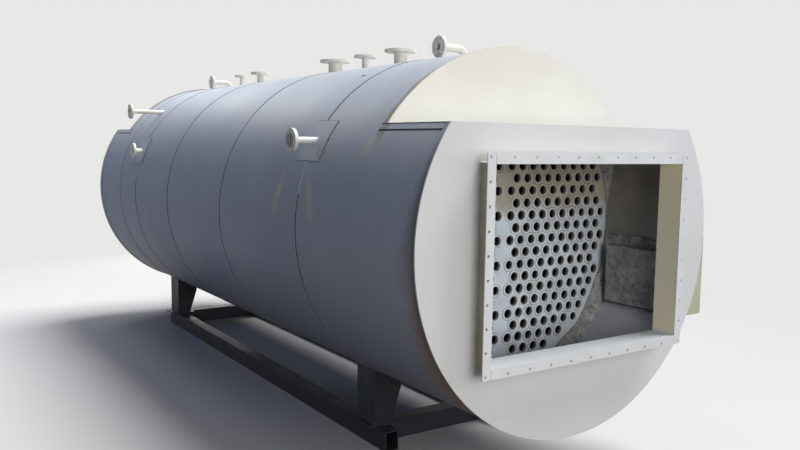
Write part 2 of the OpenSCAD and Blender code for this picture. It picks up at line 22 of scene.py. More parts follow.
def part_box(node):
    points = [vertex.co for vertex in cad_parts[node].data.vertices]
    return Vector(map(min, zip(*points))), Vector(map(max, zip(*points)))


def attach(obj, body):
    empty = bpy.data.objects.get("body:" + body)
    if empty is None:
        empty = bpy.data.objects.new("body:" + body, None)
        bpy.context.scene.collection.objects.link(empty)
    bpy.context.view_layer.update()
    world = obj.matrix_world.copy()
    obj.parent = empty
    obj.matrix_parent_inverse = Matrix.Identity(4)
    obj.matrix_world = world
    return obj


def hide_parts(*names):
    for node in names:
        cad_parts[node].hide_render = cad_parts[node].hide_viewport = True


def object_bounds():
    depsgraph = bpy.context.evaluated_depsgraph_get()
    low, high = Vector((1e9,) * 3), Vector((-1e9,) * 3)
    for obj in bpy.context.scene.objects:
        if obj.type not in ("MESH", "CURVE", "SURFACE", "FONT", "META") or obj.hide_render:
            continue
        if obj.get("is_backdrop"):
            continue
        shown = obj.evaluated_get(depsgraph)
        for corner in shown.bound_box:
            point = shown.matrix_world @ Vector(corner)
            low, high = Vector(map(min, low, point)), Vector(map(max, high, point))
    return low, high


MM = 0.001
BODY = "root"
log = logging.getLogger("boiler")
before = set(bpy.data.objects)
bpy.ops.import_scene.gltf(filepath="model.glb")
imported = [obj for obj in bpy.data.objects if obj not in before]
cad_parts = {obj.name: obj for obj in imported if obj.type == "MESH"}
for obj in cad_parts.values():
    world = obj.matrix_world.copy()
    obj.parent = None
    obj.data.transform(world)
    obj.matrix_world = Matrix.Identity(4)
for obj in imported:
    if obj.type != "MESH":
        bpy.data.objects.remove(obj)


class End(Enum):
    """The two ends of the boiler, with the sign of the way out along Y."""

    FRONT = -1
    REAR = 1

    @property
    def label(self) -> str:
        """The end's name in the names of pieces."""
        return self.name.lower()


class Side(Enum):
    """The two sides of the boiler, with the sign of X."""

    LEFT = -1
    RIGHT = 1

    @property
    def label(self) -> str:
        """The side's name in the names of pieces."""
        return self.name.lower()


class Slot(str, Enum):
    """Names of material slots, one passed with each new piece."""

    CASTABLE = "castable"
    CLADDING = "cladding"
    CREAM = "cream_paint"
    FLANGE = "flange_paint"
    SKID = "skid_paint"
    TUBE = "tube_steel"
    TUBE_PLATE = "tube_plate_steel"


def linear(colour: str) -> tuple[float, float, float, float]:
    """Turns an sRGB hex colour into the linear values that a shader takes.

    Args:
        colour: six hex digits with a leading mark, such as "#E9E6DA".

    Returns:
        Red, green, blue and an alpha of 1.
    """
    parts = [int(colour[i:i + 2], 16) / 255 for i in (1, 3, 5)]
    red, green, blue = (c / 12.92 if c <= 0.04045 else ((c + 0.055) / 1.055) ** 2.4 for c in parts)
    return red, green, blue, 1.0


def add(tree: NodeTree, kind: str, inputs: dict[Any, Any] | None = None, **settings: Any) -> Node:
    """Adds one node, sets its properties and fills or links its inputs.

    Args:
        tree: the shader or geometry tree.
        kind: the node's type name.
        inputs: socket name or number to a value, to the output socket that feeds it, or to the node
            whose first output in use feeds it.
        **settings: properties of the node itself.

    Returns:
        The new node.
    """
    node = tree.nodes.new(kind)
    for name, value in settings.items():
        setattr(node, name, value)
    for key, value in (inputs or {}).items():
        if isinstance(value, Node):
            value = next(output for output in value.outputs if output.enabled)
        if isinstance(value, NodeSocket):
            tree.links.new(value, node.inputs[key])
        else:
            node.inputs[key].default_value = value
    return node


@dataclass(frozen=True)
class Boiler:
    """Main sizes of the boiler, in the boiler's own coordinates and in the frame's.

    The boiler's own coordinates have the axis at x = 0, z = 0 and the front plate's face at y = 0.
    """

    casing_r: float = 0.870
    plate_r: float = 0.880
    shell_r: float = 0.800
    wrapper_t: float = 0.006
    casing_l: float = 4.885
    flat_top_h: float = 0.507
    roof_h: float = 0.4376
    fold_h: float = 0.027
    fold_set: float = 0.045
    fold_past: float = 0.060
    sheet_t: float = 0.0018
    front_top_l: float = 0.446
    rear_top_l: float = 0.395
    tube_plate_set: float = 0.056
    seams: tuple[float, ...] = (1.039, 2.042, 3.030, 3.812, 4.260)
    duct_w: float = 1.219
    duct_h: float = 0.898
    duct_z: float = -0.061
    duct_out: float = 0.092
    angle_leg: float = 0.043
    collar_t: float = 0.005

    @cached_property
    def axis_h(self) -> float:
        """Height of the axis over the floor, from the tube plate's own centre."""
        low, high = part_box("front_tube_plate")
        return (low.z + high.z) / 2

    @property
    def wrapper_r(self) -> float:
        """Inner radius of the smokebox wrappers."""
        return self.shell_r - self.wrapper_t

    def plate_y(self, end: End) -> float:
        """Outer face of an end plate."""
        return 0.0 if end is End.FRONT else self.casing_l

    def tube_y(self, end: End) -> float:
        """Outer face of a tube plate."""
        if end is End.FRONT:
            return self.front_top_l + self.tube_plate_set
        return self.casing_l - self.rear_top_l - self.tube_plate_set

    def place(self, x: float, y: float, z: float) -> Vector:
        """A point of the boiler's own coordinates in the frame."""
        return Vector((x, y - self.casing_l / 2, z + self.axis_h))

    def round(self, r: float, angle: float, y: float) -> Vector:
        """A point at radius r and angle round the axis, from the top and towards +X."""
        return self.place(r * math.sin(angle), y, r * math.cos(angle))

    def on_left(self, r: float, y: float, z: float) -> Vector:
        """A point at radius r and height z against the axis, on the left side."""
        return self.place(-math.sqrt(r * r - z * z), y, z)


def mask(tree: NodeTree, *shares: Sequence[Any]) -> Node:
    """Multiplies shares into one mask.

    Args:
        tree: the material's tree.
        *shares: for each one the value that it follows, the two ends of that value's range, and what
            they stand for where that isn't 0 and 1. Beyond its range a value gives no more.

    Returns:
        The node that gives the mask.
    """
    product: Any = 1.0
    for value, *limits in shares:
        share = add(tree, "ShaderNodeMapRange", {0: value} | dict(enumerate(limits, 1)))
        product = add(tree, "ShaderNodeMath", {0: product, 1: share}, operation="MULTIPLY")
    return product


class Coat:
    """The colour of one material, laid in layers over the object's own coordinates."""

    def __init__(self, tree: NodeTree, colour: str) -> None:
        """Starts with one even colour.

        Args:
            tree: the material's tree.
            colour: the lowest layer, in hex digits.
        """
        self.tree = tree
        self.where = add(tree, "ShaderNodeTexCoord").outputs["Object"]
        self.x, self.y, self.z = add(tree, "ShaderNodeSeparateXYZ", {0: self.where}).outputs
        self.colour: Any = linear(colour)

    def lay(self, colour: str | Node, *shares: Sequence[Any]) -> None:
        """Lays a colour over the coat where all its shares are 1, and thinner where they are less.

        Args:
            colour: hex digits, or a node that gives the colour.
            *shares: as for a mask.
        """
        over = linear(colour) if isinstance(colour, str) else colour
        self.colour = add(self.tree, "ShaderNodeMix", {
            "Factor": mask(self.tree, *shares), 6: self.colour, 7: over,
        }, data_type="RGBA")

    def square(self, x: float, z: float) -> Node:
        """The square of the distance from a line that runs along Y."""
        aside = add(self.tree, "ShaderNodeVectorMath", {
            0: self.where, 1: (1.0, 0.0, 1.0), 2: (-x, 0.0, -z),
        }, operation="MULTIPLY_ADD")
        return add(self.tree, "ShaderNodeVectorMath", {0: aside, 1: aside}, operation="DOT_PRODUCT")


@dataclass(frozen=True)
class Finish:
    """A real surface: its colour, how it clouds over, how it shines and its fine relief."""

    name: str
    colour: str
    shade: str
    roughness: float = 0.5
    metallic: float = 0.0
    cloud_mm: float = 400.0
    cloud_amount: float = 0.5
    grain_mm: float = 3.0
    grain_amount: float = 0.15
    relief_mm: float = 0.1
    gloss_spread: float = 0.08
    specular: float = 0.5
    wave_mm: float = 400.0
    wave_relief_mm: float = 0.0

    def build(self) -> Material:
        """Makes the material.

        Returns:
            A node material that reads Object coordinates only.
        """
        material = bpy.data.materials.new(self.name)
        material.use_nodes = True
        tree = material.node_tree
        tree.nodes.clear()
        coat = Coat(tree, self.colour)
        patterns = ((self.cloud_mm, 5.0, 0.55), (self.grain_mm, 3.0, 0.6), (self.wave_mm, 1.0, 0.5))
        cloud, grain, wave = (add(tree, "ShaderNodeTexNoise", {
            "Vector": coat.where, "Scale": 1 / (size_mm * MM), "Detail": detail, "Roughness": roughness,
        }) for size_mm, detail, roughness in patterns)
        relief: dict[str, Any] = {}
        for height, depth_mm in ((wave, self.wave_relief_mm), (grain, self.relief_mm)):
            relief["Normal"] = add(tree, "ShaderNodeBump", {
                "Height": height, "Distance": depth_mm * MM, "Strength": 1.0,
            } | relief)
        coat.lay(self.shade, (cloud, 0.35, 0.68, 0.0, self.cloud_amount))
        coat.lay(self.shade, (grain, 0.4, 0.75, 0.0, self.grain_amount))
        self.mark(coat)
        gloss = (self.roughness - self.gloss_spread, self.roughness + self.gloss_spread)
        shader = add(tree, "ShaderNodeBsdfPrincipled", {
            "Base Color": coat.colour, "Metallic": self.metallic, "Specular IOR Level": self.specular,
            "Roughness": mask(tree, (cloud, 0.3, 0.7, *gloss)),
        } | relief)
        add(tree, "ShaderNodeOutputMaterial", {0: shader})
        return material

    def mark(self, coat: Coat) -> None:
        """Lays the surface's own stains and wear, and on some finishes painted light and shade; a plain
        finish has none.
        """


@dataclass(frozen=True)
class Run:
    """A dried run of dirty water down the left side.

    It starts at top (y, z) of the frame, falls by drop and drifts towards the rear by lean for each
    metre of fall.
    """

    top: tuple[float, float]
    drop: float
    lean: float
    width: float
    strength: float


@dataclass(frozen=True)
class CladdingSheet(Finish):
    """Coated steel sheet: satin and a little wavy, with dirt behind the plates and dried runs."""

    front_y: float = 0.0
    axis_h: float = 0.0
    stain: str = "#8C8672"
    rust: str = "#C9A47C"
    dried: str = "#EADFB4"
    stain_w: float = 0.190
    upper_y: float = 0.0
    upper_h: float = 0.40
    runs: tuple[Run, ...] = ()

    def mark(self, coat: Coat) -> None:
        """Lays the dirt behind the front plate, browner and wider low down, and that of the upper plate.

        Args:
            coat: the sheet's colour so far.
        """
        tree, y, z = coat.tree, coat.y, coat.z
        wobble = add(tree, "ShaderNodeTexNoise", {"Vector": coat.where, "Scale": 11.0, "Detail": 5.0})
        width = mask(tree, (z, self.axis_h + 0.5, self.axis_h - 0.65, self.stain_w * 0.3, self.stain_w * 2))
        reach = add(tree, "ShaderNodeMath", {0: width, 1: wobble}, operation="MULTIPLY")
        behind = add(tree, "ShaderNodeMath", {0: y, 1: self.front_y}, operation="SUBTRACT")
        share = add(tree, "ShaderNodeMath", {0: behind, 1: reach}, operation="DIVIDE")
        tint = add(tree, "ShaderNodeMix", {
            "Factor": mask(tree, (z, self.axis_h + 0.1, self.axis_h - 0.65)),
            6: linear(self.stain), 7: linear(self.rust),
        }, data_type="RGBA")
        coat.lay(tint, (share, 0.15, 1.25, 0.85, 0.0))
        beside = add(tree, "ShaderNodeMath", {0: y, 1: self.upper_y}, operation="SUBTRACT")
        share = add(tree, "ShaderNodeMath", {0: beside, 1: wobble}, operation="DIVIDE")
        foot = self.axis_h + self.upper_h
        coat.lay(self.stain, (share, -0.080, -0.032), (share, 0.080, 0.032), (z, foot, foot + 0.06, 0.0, 0.7))
        for run in self.runs:
            self.mark_run(coat, run, wobble)

    def mark_run(self, coat: Coat, run: Run, wobble: Node) -> None:
        """Lays one dried run, which swells downwards and ends soft.

        Args:
            coat: the sheet's colour so far.
            run: the run's place and size.
            wobble: the noise that breaks it up.
        """
        tree, left = coat.tree, (coat.x, MM, -MM)
        fall = add(tree, "ShaderNodeMath", {0: run.top[1], 1: coat.z}, operation="SUBTRACT")
        line = add(tree, "ShaderNodeMath", {0: fall, 1: run.lean, 2: run.top[0]}, operation="MULTIPLY_ADD")
        aside = add(tree, "ShaderNodeMath", {0: coat.y, 1: line}, operation="SUBTRACT")
        core = run.width / 4
        coat.lay(self.dried, left, (aside, -run.width, -core), (aside, run.width, core),
                 (fall, 0.0, run.drop * 0.5), (fall, run.drop, run.drop * 0.75),
                 (wobble, 0.35, 0.6, run.strength * 0.35, run.strength))


@dataclass(frozen=True)
class UpperTonedFinish(Finish):
    """A surface with a second tone laid over its upper part."""

    upper_tone: str = "#7C6A52"
    upper_tone_low: float = 0.0
    upper_tone_high: float = 1.0
    cloud_h: float = 0.16

    def mark(self, coat: Coat) -> None:
        """Lays the upper tone, thicker upwards and with its lower edge broken by clouds.

        Args:
            coat: the plate's colour so far.
        """
        cloud = add(coat.tree, "ShaderNodeTexNoise", {"Vector": coat.where, "Scale": 6.0, "Detail": 4.0})
        raised = add(coat.tree, "ShaderNodeMath", {
            0: cloud, 1: self.cloud_h, 2: coat.z,
        }, operation="MULTIPLY_ADD")
        low, high = (level + self.cloud_h / 2 for level in (self.upper_tone_low, self.upper_tone_high))
        # The upper tone is in part painted shade on the tube plates and their welds
        coat.lay(self.upper_tone, (raised, low, high, 0.0, 0.85))


@dataclass(frozen=True)
class SmearedPlate(UpperTonedFinish):
    """Plate with a tone over its upper part and crumbs of castable smeared on its rim and in one splash."""

    smear: str = "#CDCECB"
    rim_r: float = 0.690
    rim_w: float = 0.040
    splash: tuple[float, float] = (0.13, -0.19)
    splash_r: float = 0.24
    axis_h: float = 0.0

    def mark(self, coat: Coat) -> None:
        """Lays the smears, densest at the rim and in the splash, and the upper tone over them.

        Args:
            coat: the plate's colour so far.
        """
        tree, (x, z) = coat.tree, self.splash
        outside = (coat.square(0.0, self.axis_h), self.rim_r ** 2, (self.rim_r + self.rim_w) ** 2, 0.0, 0.3)
        splashed = (coat.square(x, z + self.axis_h), 0.0, self.splash_r ** 2, 0.16, 0.0)
        density = add(tree, "ShaderNodeMath", {
            0: mask(tree, outside), 1: mask(tree, splashed),
        }, operation="MAXIMUM")
        crumbs = add(tree, "ShaderNodeTexNoise", {
            "Vector": coat.where, "Scale": 90.0, "Detail": 4.0, "Roughness": 0.6,
        })
        smeared = add(tree, "ShaderNodeMath", {0: crumbs, 1: density}, operation="ADD")
        coat.lay(self.smear, (smeared, 0.62, 0.70, 0.0, 0.9))
        super().mark(coat)


@dataclass(frozen=True)
class GreyRimmedPlate(Finish):
    """Painted plate whose rim, beyond the cladding's radius, is laid in a cool grey."""

    axis_h: float = 0.0
    rim_r: float = 0.873
    rim_grey: str = "#A2A7AF"

    def mark(self, coat: Coat) -> None:
        """Lays the grey on everything beyond the rim's radius."""
        coat.lay(self.rim_grey, (coat.square(0.0, self.axis_h), self.rim_r ** 2 - MM, self.rim_r ** 2 + MM))


@dataclass(frozen=True)
class FacedFlange(Finish):
    """Painted nozzle whose gasket face, turned away along -X, is left as bare machined steel."""

    face_x: float = 0.0
    bare: str = "#2A2927"

    def mark(self, coat: Coat) -> None:
        """Lays the bare steel on the outermost millimetre."""
        coat.lay(self.bare, (coat.x, self.face_x + 1.1 * MM, self.face_x + 0.9 * MM))


@dataclass(frozen=True)
class BoredTube(Finish):
    """Tube steel that is ground at both mouths and laid near black further in."""

    bore_dark: str = "#1D1C1B"
    mouth_y: float = 0.0
    reach: float = 0.020

    def mark(self, coat: Coat) -> None:
        """Lays the near black from a little behind each mouth inwards."""
        clean, full = self.mouth_y - MM, self.mouth_y - self.reach
        coat.lay(self.bore_dark, (coat.y, clean, full), (coat.y, -clean, -full))


@dataclass(frozen=True)
class PittedCastable(Finish):
    """Refractory with dark pits and crumbs pulled out of its face."""

    pit: str = "#4A4640"
    pit_mm: float = 14.0

    def mark(self, coat: Coat) -> None:
        """Lays the pits, in swarms.

        Args:
            coat: the castable's colour so far.
        """
        spots = add(coat.tree, "ShaderNodeTexNoise", {
            "Vector": coat.where, "Scale": 1 / (self.pit_mm * MM), "Detail": 3.0, "Roughness": 0.65,
        })
        swarm = add(coat.tree, "ShaderNodeTexNoise", {"Vector": coat.where, "Scale": 7.0, "Detail": 2.0})
        coat.lay(self.pit, (spots, 0.55, 0.64, 0.0, 0.9), (swarm, 0.38, 0.58, 0.25, 1.0))


@dataclass(frozen=True)
class InsideLitCollar(Finish):
    """Primed duct collar whose inside faces are laid lighter and warmer than its outside as painted light,
    and whose inner bottom face is laid a pale cool grey as painted light from above.
    """

    inner: str = "#F1E7C9"
    bottom: str = "#CBD0D4"
    half_w: float = 0.5695
    half_h: float = 0.4090
    middle_h: float = 0.0

    def mark(self, coat: Coat) -> None:
        """Lays the painted light of the inside faces within the middle of the plates' thickness, and that of
        the inner bottom face.

        Args:
            coat: the collar's colour so far.
        """
        spans = ((coat.x, 0.0, self.half_w), (coat.z, self.middle_h, self.half_h))
        inside = [(value, middle + sign * half, middle + sign * (half - MM))
                  for value, middle, half in spans for sign in (-1, 1)]
        # Painted light: the inside faces lighter than the outside
        coat.lay(self.inner, *inside)
        foot = self.middle_h - self.half_h
        # Painted light on the inner bottom face, which faces up
        coat.lay(self.bottom, *inside, (coat.z, foot + 10.5 * MM, foot + 4.5 * MM))


class Palette:
    """Every finish of the boiler, built once."""

    def __init__(self, boiler: Boiler) -> None:
        """Builds the materials.

        Args:
            boiler: the main sizes, for the finishes that change along the boiler.
        """
        front_y = boiler.place(0, 0, 0).y
        axis_h = boiler.axis_h
        # Colour-coated steel sheet, rolled: an even satin film with a slight waviness
        self.cladding = CladdingSheet(
            "rolled_coated_sheet", "#BCC3CD", "#ABB3C0", roughness=0.45, cloud_mm=700, grain_mm=30,
            grain_amount=0.06, relief_mm=0.12, gloss_spread=0.05, specular=0.08, wave_mm=420,
            wave_relief_mm=2.2, front_y=front_y, axis_h=axis_h,
            upper_y=front_y + boiler.front_top_l + 0.030, runs=(
                Run((front_y + 1.222, axis_h + 0.315), 0.28, 0.25, 0.044, 0.72),
                Run((front_y + 0.985, axis_h + 0.310), 0.28, -0.45, 0.044, 0.55),
                Run((front_y + 0.515, axis_h + 0.480), 0.13, 0.05, 0.050, 0.55),
            )).build()
        # Sprayed heat-proof enamel on steel plate: satin, with a fine orange peel
        self.cream = Finish("sprayed_cream_enamel", "#D2D2D1", "#C6C5C0", roughness=0.42, cloud_mm=500,
                            grain_mm=6, grain_amount=0.08, relief_mm=0.08).build()
        # The same enamel on the rear plates, which stand proud of the rear sheets, with their rims laid grey
        self.grey_rimmed_cream = GreyRimmedPlate("grey_rimmed_enamel", "#DAD8CD", "#C9C5B8", grain_mm=6, grain_amount=0.1,
                                  relief_mm=0.08, axis_h=axis_h).build()
        # The upper plate's enamel, warmer and laid lighter than the front plate's, painted light from above
        self.lit_warm_cream = Finish("warm_enamel_with_painted_light", "#E6E2D5", "#D9D4C4", roughness=0.42, cloud_mm=500,
                                 grain_mm=6, grain_amount=0.08, relief_mm=0.08).build()
        # The same enamel over bright primer on the angle iron, a little cooler
        self.flange = Finish("sprayed_white_enamel", "#D3D5D4", "#C4C6C5", roughness=0.4, cloud_mm=200,
                             grain_mm=5, grain_amount=0.1, relief_mm=0.08).build()
        # Brushed-on primer of the collar, thin and yellowed, with painted light on its inside faces
        self.collar = InsideLitCollar("brushed_collar_primer", "#BDB8A3", "#A49880", roughness=0.6, cloud_mm=160,
                                  cloud_amount=0.6, grain_mm=5, grain_amount=0.2,
                                  middle_h=axis_h + boiler.duct_z).build()
        # Green-grey primer of the cleanout's box and cover, which never got the enamel
        self.primer = Finish("brushed_green_primer", "#B6B89C", "#979B80", roughness=0.6, cloud_mm=120,
                             cloud_amount=0.6, grain_mm=5, grain_amount=0.2).build()
        # Hot-rolled boiler plate with mill scale; the brown over its upper rows is partly welding haze and
        # partly painted shade of the duct's top
        self.tube_plate = SmearedPlate("scaled_boiler_plate", "#DAE4EE", "#ACB5BF", specular=0.3,
                                       cloud_mm=120, grain_mm=4, grain_amount=0.3, relief_mm=0.2,
                                       upper_tone="#AB9C84", upper_tone_low=axis_h + 0.075,
                                       upper_tone_high=axis_h + 0.135, axis_h=axis_h).build()
        # Cold-drawn tube, ground at its ends
        self.tube = BoredTube("drawn_tube_steel", "#A9ABAB", "#6C675F", cloud_mm=60, grain_amount=0.3,
                              specular=0.2, mouth_y=-boiler.place(0, boiler.tube_y(End.FRONT), 0).y).build()
        # Weld metal, cooled in ripples: brighter than the plate round it, browned over the upper rows like
        # the plate, partly haze and partly painted shade
        self.weld = UpperTonedFinish("cooled_weld_metal", "#E9EEF2", "#B4B9BC", roughness=0.38, specular=0.6,
                               cloud_mm=70, grain_mm=2, grain_amount=0.25, relief_mm=0.2, upper_tone="#B3A88F",
                               upper_tone_low=axis_h + 0.08, upper_tone_high=axis_h + 0.16).build()
        # Rolled steel plate inside the smokebox, dull with handling, laid darker upwards
        self.wrapper = UpperTonedFinish("rolled_smokebox_plate", "#BEC1C9", "#9C9EA5", cloud_mm=250, grain_mm=6,
                                  grain_amount=0.25, relief_mm=0.15, upper_tone="#85807A",
                                  upper_tone_low=axis_h - 0.25, upper_tone_high=axis_h - 0.1).build()
        # Flat plate of the smokebox's side walls, browned by smoke
        self.side_wall = Finish("smoked_wall_plate", "#96918A", "#77726A", roughness=0.55, cloud_mm=180,
                                grain_mm=5, grain_amount=0.35, relief_mm=0.3, wave_mm=160,
                                wave_relief_mm=1.5).build()
        # A thin dark line in the narrow groove round each tube's weld
        self.groove = Finish("dark_weld_groove", "#4A4741", "#33312D", roughness=0.8, cloud_mm=60,
                             grain_amount=0.3).build()
        # Refractory castable, trowelled: gritty and chalky
        self.castable = PittedCastable("trowelled_castable", "#B1B2AF", "#777876", roughness=0.95,
                                       cloud_mm=45, cloud_amount=0.8, grain_mm=5, grain_amount=0.6,
                                       relief_mm=1.2).build()
        # Mineral wool mat, open and matt
        self.wool = Finish("mineral_wool_mat", "#9C8F63", "#7A6E48", roughness=1.0, cloud_mm=30,
                           grain_amount=0.6, relief_mm=1.5).build()
        # Painted pipe and flange: cream paint laid near white as painted sunlight
        self.nozzle = Finish("pipe_paint_with_painted_light", "#F3EEDF", "#DDD8C8", roughness=0.45, cloud_mm=60,
                             grain_mm=4, relief_mm=0.08).build()
        # The front side nozzle, whose gasket face is bare
        self.faced_nozzle = FacedFlange("faced_pipe_steel", "#DDDDD8", "#B9B8B1", roughness=0.42,
                                        cloud_mm=60, grain_mm=4, grain_amount=0.2, relief_mm=0.08,
                                        face_x=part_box("front_side_nozzle")[0].x).build()
        # Structural paint on plate and box section, brushed and dusty
        self.skid = Finish("brushed_structural_paint", "#292B30", "#1E1F23", roughness=0.55, specular=0.3,
                           cloud_mm=150, grain_mm=8, grain_amount=0.25, relief_mm=0.2).build()
        # The open gap of a lap joint, which no light reaches
        self.gap = Finish("open_joint_shadow", "#2A2B2E", "#1B1C1E", roughness=0.9, cloud_mm=50,
                          grain_mm=5, relief_mm=0.05).build()
        # The lap joints between sheets, laid less dark on the upper half
        self.joint = UpperTonedFinish("closed_joint_shadow", "#1E1F22", "#151618", roughness=0.9, cloud_mm=50,
                                grain_mm=5, relief_mm=0.05, upper_tone="#4E5158", upper_tone_low=axis_h + 0.05,
                                upper_tone_high=axis_h + 0.3).build()
        # Sealing paste pressed into an edge, dried yellowish
        self.paste = Finish("dried_sealing_paste", "#C9C0A6", "#A79C7E", roughness=0.75, cloud_mm=40,
                            cloud_amount=0.7, grain_mm=4, grain_amount=0.4, relief_mm=0.5).build()
        # Oxide skin of boiler plate out of sight
        self.shell = Finish("oxide_boiler_plate", "#4A4A4C", "#3A3836", roughness=0.6, metallic=0.3,
                            cloud_mm=200, grain_mm=6).build()


class Dresser:
    """Gives the frame's own solids their finishes."""

    def __init__(self, palette: Palette) -> None:
        """Sorts the nodes by finish.

        Args:
            palette: the finishes.
        """
        self.by_node: dict[str, Material] = {
            "pressure_shell": palette.shell, "fire_tubes": palette.tube, "nozzle_patches": palette.cladding,
            "cleanout_box": palette.primer, "cleanout_cover": palette.primer,
            "cleanout_plug": palette.castable, "barrel_insulation": palette.wool,
            "front_side_nozzle": palette.faced_nozzle, "rear_side_nozzle_upper": palette.nozzle,
            "rear_side_nozzle_lower": palette.nozzle, "front_plate": palette.cream,
            "rear_plate": palette.grey_rimmed_cream, "front_upper_plate": palette.lit_warm_cream,
            "rear_upper_plate": palette.grey_rimmed_cream,
        }
        by_end = {
            "tube_plate": palette.tube_plate, "smokebox_wrapper": palette.wrapper,
            "smokebox_roof": palette.wrapper, "castable_ring": palette.castable,
            "duct_collar": palette.collar, "duct_flange": palette.flange,
            "insulation": palette.wool, "flat_cover": palette.cladding, "elbow_nozzle": palette.nozzle,
            "cross_beam": palette.skid, "left_leg": palette.skid, "right_leg": palette.skid,
        }
        for end in End:
            self.by_node |= {f"{end.label}_{name}": material for name, material in by_end.items()}
        self.by_node |= {f"{side.label}_beam": palette.skid for side in Side}
        self.by_node |= {f"cladding_sheet_{number}": palette.cladding for number in range(1, 7)}
        self.by_node |= {f"top_nozzle_{number}": palette.nozzle for number in range(1, 6)}

    def dress(self) -> None:
        """Puts each node's material in its slots."""
        for name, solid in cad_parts.items():
            solid.data.materials.clear()
            solid.data.materials.append(self.by_node[name])
            log.info("dressed %s", name)


def publish(name: str, mesh: Mesh, slot: Slot, replaced: Sequence[str] = (),
            smooth_deg: float = 40.0) -> Object:
    """Makes a finished mesh a piece of the boiler.

    Args:
        name: the piece's plain name.
        mesh: its mesh, in the frame's coordinates.
        slot: not used.
        replaced: the nodes that it stands for.
        smooth_deg: edges under this angle are shaded smooth.

    Returns:
        The piece's object.
    """
    mesh.name = name
    for polygon in mesh.polygons:
        polygon.use_smooth = True
    mesh.set_sharp_from_angle(angle=math.radians(smooth_deg))
    piece = bpy.data.objects.new(name, mesh)
    bpy.context.scene.collection.objects.link(piece)
    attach(piece, BODY)
    if replaced:
        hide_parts(*replaced)
    log.info("built %s with %d faces", name, len(mesh.polygons))
    return piece


class Skin:
    """Points and faces that are gathered into one mesh."""

    def __init__(self) -> None:
        """Starts with nothing."""
        self.points: list[Vector] = []
        self.faces: list[tuple[int, ...]] = []

    def cover(self, rows: Sequence[Sequence[Vector]], closed: bool = False, flipped: bool = False) -> None:
        """Adds quads between rows of points.

        Args:
            rows: rows of the same length.
            closed: whether each row is a ring, which also caps both ends.
            flipped: whether the faces look the other way.
        """
        first, width = len(self.points), len(rows[0])
        self.points += [point for row in rows for point in row]
        last = len(self.points) - width
        faces = []
        for start in range(first, last, width):
            for j in range(width if closed else width - 1):
                k = (j + 1) % width
                faces.append((start + j, start + width + j, start + width + k, start + k))
        if closed:
            faces.append(tuple(range(first, first + width)))
            faces.append(tuple(range(last + width - 1, last - 1, -1)))
        self.faces += [face[::-1] for face in faces] if flipped else faces

    def mesh(self, material: Material) -> Mesh:
        """The mesh of everything gathered, with its finish."""
        mesh = bpy.data.meshes.new("skin")
        mesh.from_pydata(self.points, [], self.faces)
        mesh.materials.append(material)
        return mesh


class GrownShape:
    """A Geometry Nodes tree with named sizes, run on a base mesh into a plain mesh."""

    def __init__(self, name: str) -> None:
        """Starts an empty tree with a geometry input and output.

        Args:
            name: the tree's name.
        """
        self.tree = bpy.data.node_groups.new(name, "GeometryNodeTree")
        for in_out in ("INPUT", "OUTPUT"):
            self.tree.interface.new_socket("Geometry", in_out=in_out, socket_type="NodeSocketGeometry")
        self.source = add(self.tree, "NodeGroupInput")
        self.identifiers: dict[str, str] = {}

    def size(self, name: str, value: float | int) -> NodeSocket:
        """Adds a named input.

        Args:
            name: the input's name.
            value: its value where none is given.

        Returns:
            The socket that carries it inside the tree.
        """
        kind = "NodeSocketInt" if isinstance(value, int) else "NodeSocketFloat"
        item = self.tree.interface.new_socket(name, in_out="INPUT", socket_type=kind)
        item.default_value = value
        self.identifiers[name] = item.identifier
        return self.source.outputs[name]

    def close(self, geometry: Node, material: Material) -> None:
        """Ends the tree with Realize Instances and Set Material.

        Args:
            geometry: the node that gives the shape.
            material: the finish that it starts with.
        """
        solid = add(self.tree, "GeometryNodeRealizeInstances", {0: geometry})
        dressed = add(self.tree, "GeometryNodeSetMaterial", {"Geometry": solid, "Material": material})
        add(self.tree, "NodeGroupOutput", {0: dressed})

    def grow(self, paths: Iterable[Sequence[Vector]], material: Material, closed: bool = False,
             **sizes: float) -> Mesh:
        """Runs the tree on points or paths.

        Args:
            paths: the points of each path in order, or one point each.
            material: the finish of the result.
            closed: whether each path's last point joins its first.
            **sizes: values for the named inputs, with spaces written as underscores.

        Returns:
            The result as a plain mesh.
        """
        base = path_mesh(paths, closed)
        carrier = bpy.data.objects.new("carrier", base)
        bpy.context.scene.collection.objects.link(carrier)
        modifier = carrier.modifiers.new("grow", "NODES")
        modifier.node_group = self.tree
        for name, value in sizes.items():
            modifier[self.identifiers[name.replace("_", " ")]] = value
        depsgraph = bpy.context.evaluated_depsgraph_get()
        mesh = bpy.data.meshes.new_from_object(carrier.evaluated_get(depsgraph))
        carrier.modifiers.remove(modifier)
        bpy.data.objects.remove(carrier)
        bpy.data.meshes.remove(base)
        mesh.materials.clear()
        mesh.materials.append(material)
        return mesh


def path_mesh(paths: Iterable[Sequence[Vector]], closed: bool) -> Mesh:
    """A mesh of edge paths.

    Args:
        paths: the points of each path in order.
        closed: whether each path's last point joins its first.

    Returns:
        A mesh without faces.
    """
    points: list[Vector] = []
    edges: list[tuple[int, int]] = []
    for path in paths:
        first = len(points)
        points += path
        edges += [(i, i + 1) for i in range(first, len(points) - 1)]
        if closed:
            edges.append((len(points) - 1, first))
    mesh = bpy.data.meshes.new("paths")
    mesh.from_pydata(points, edges, [])
    return mesh


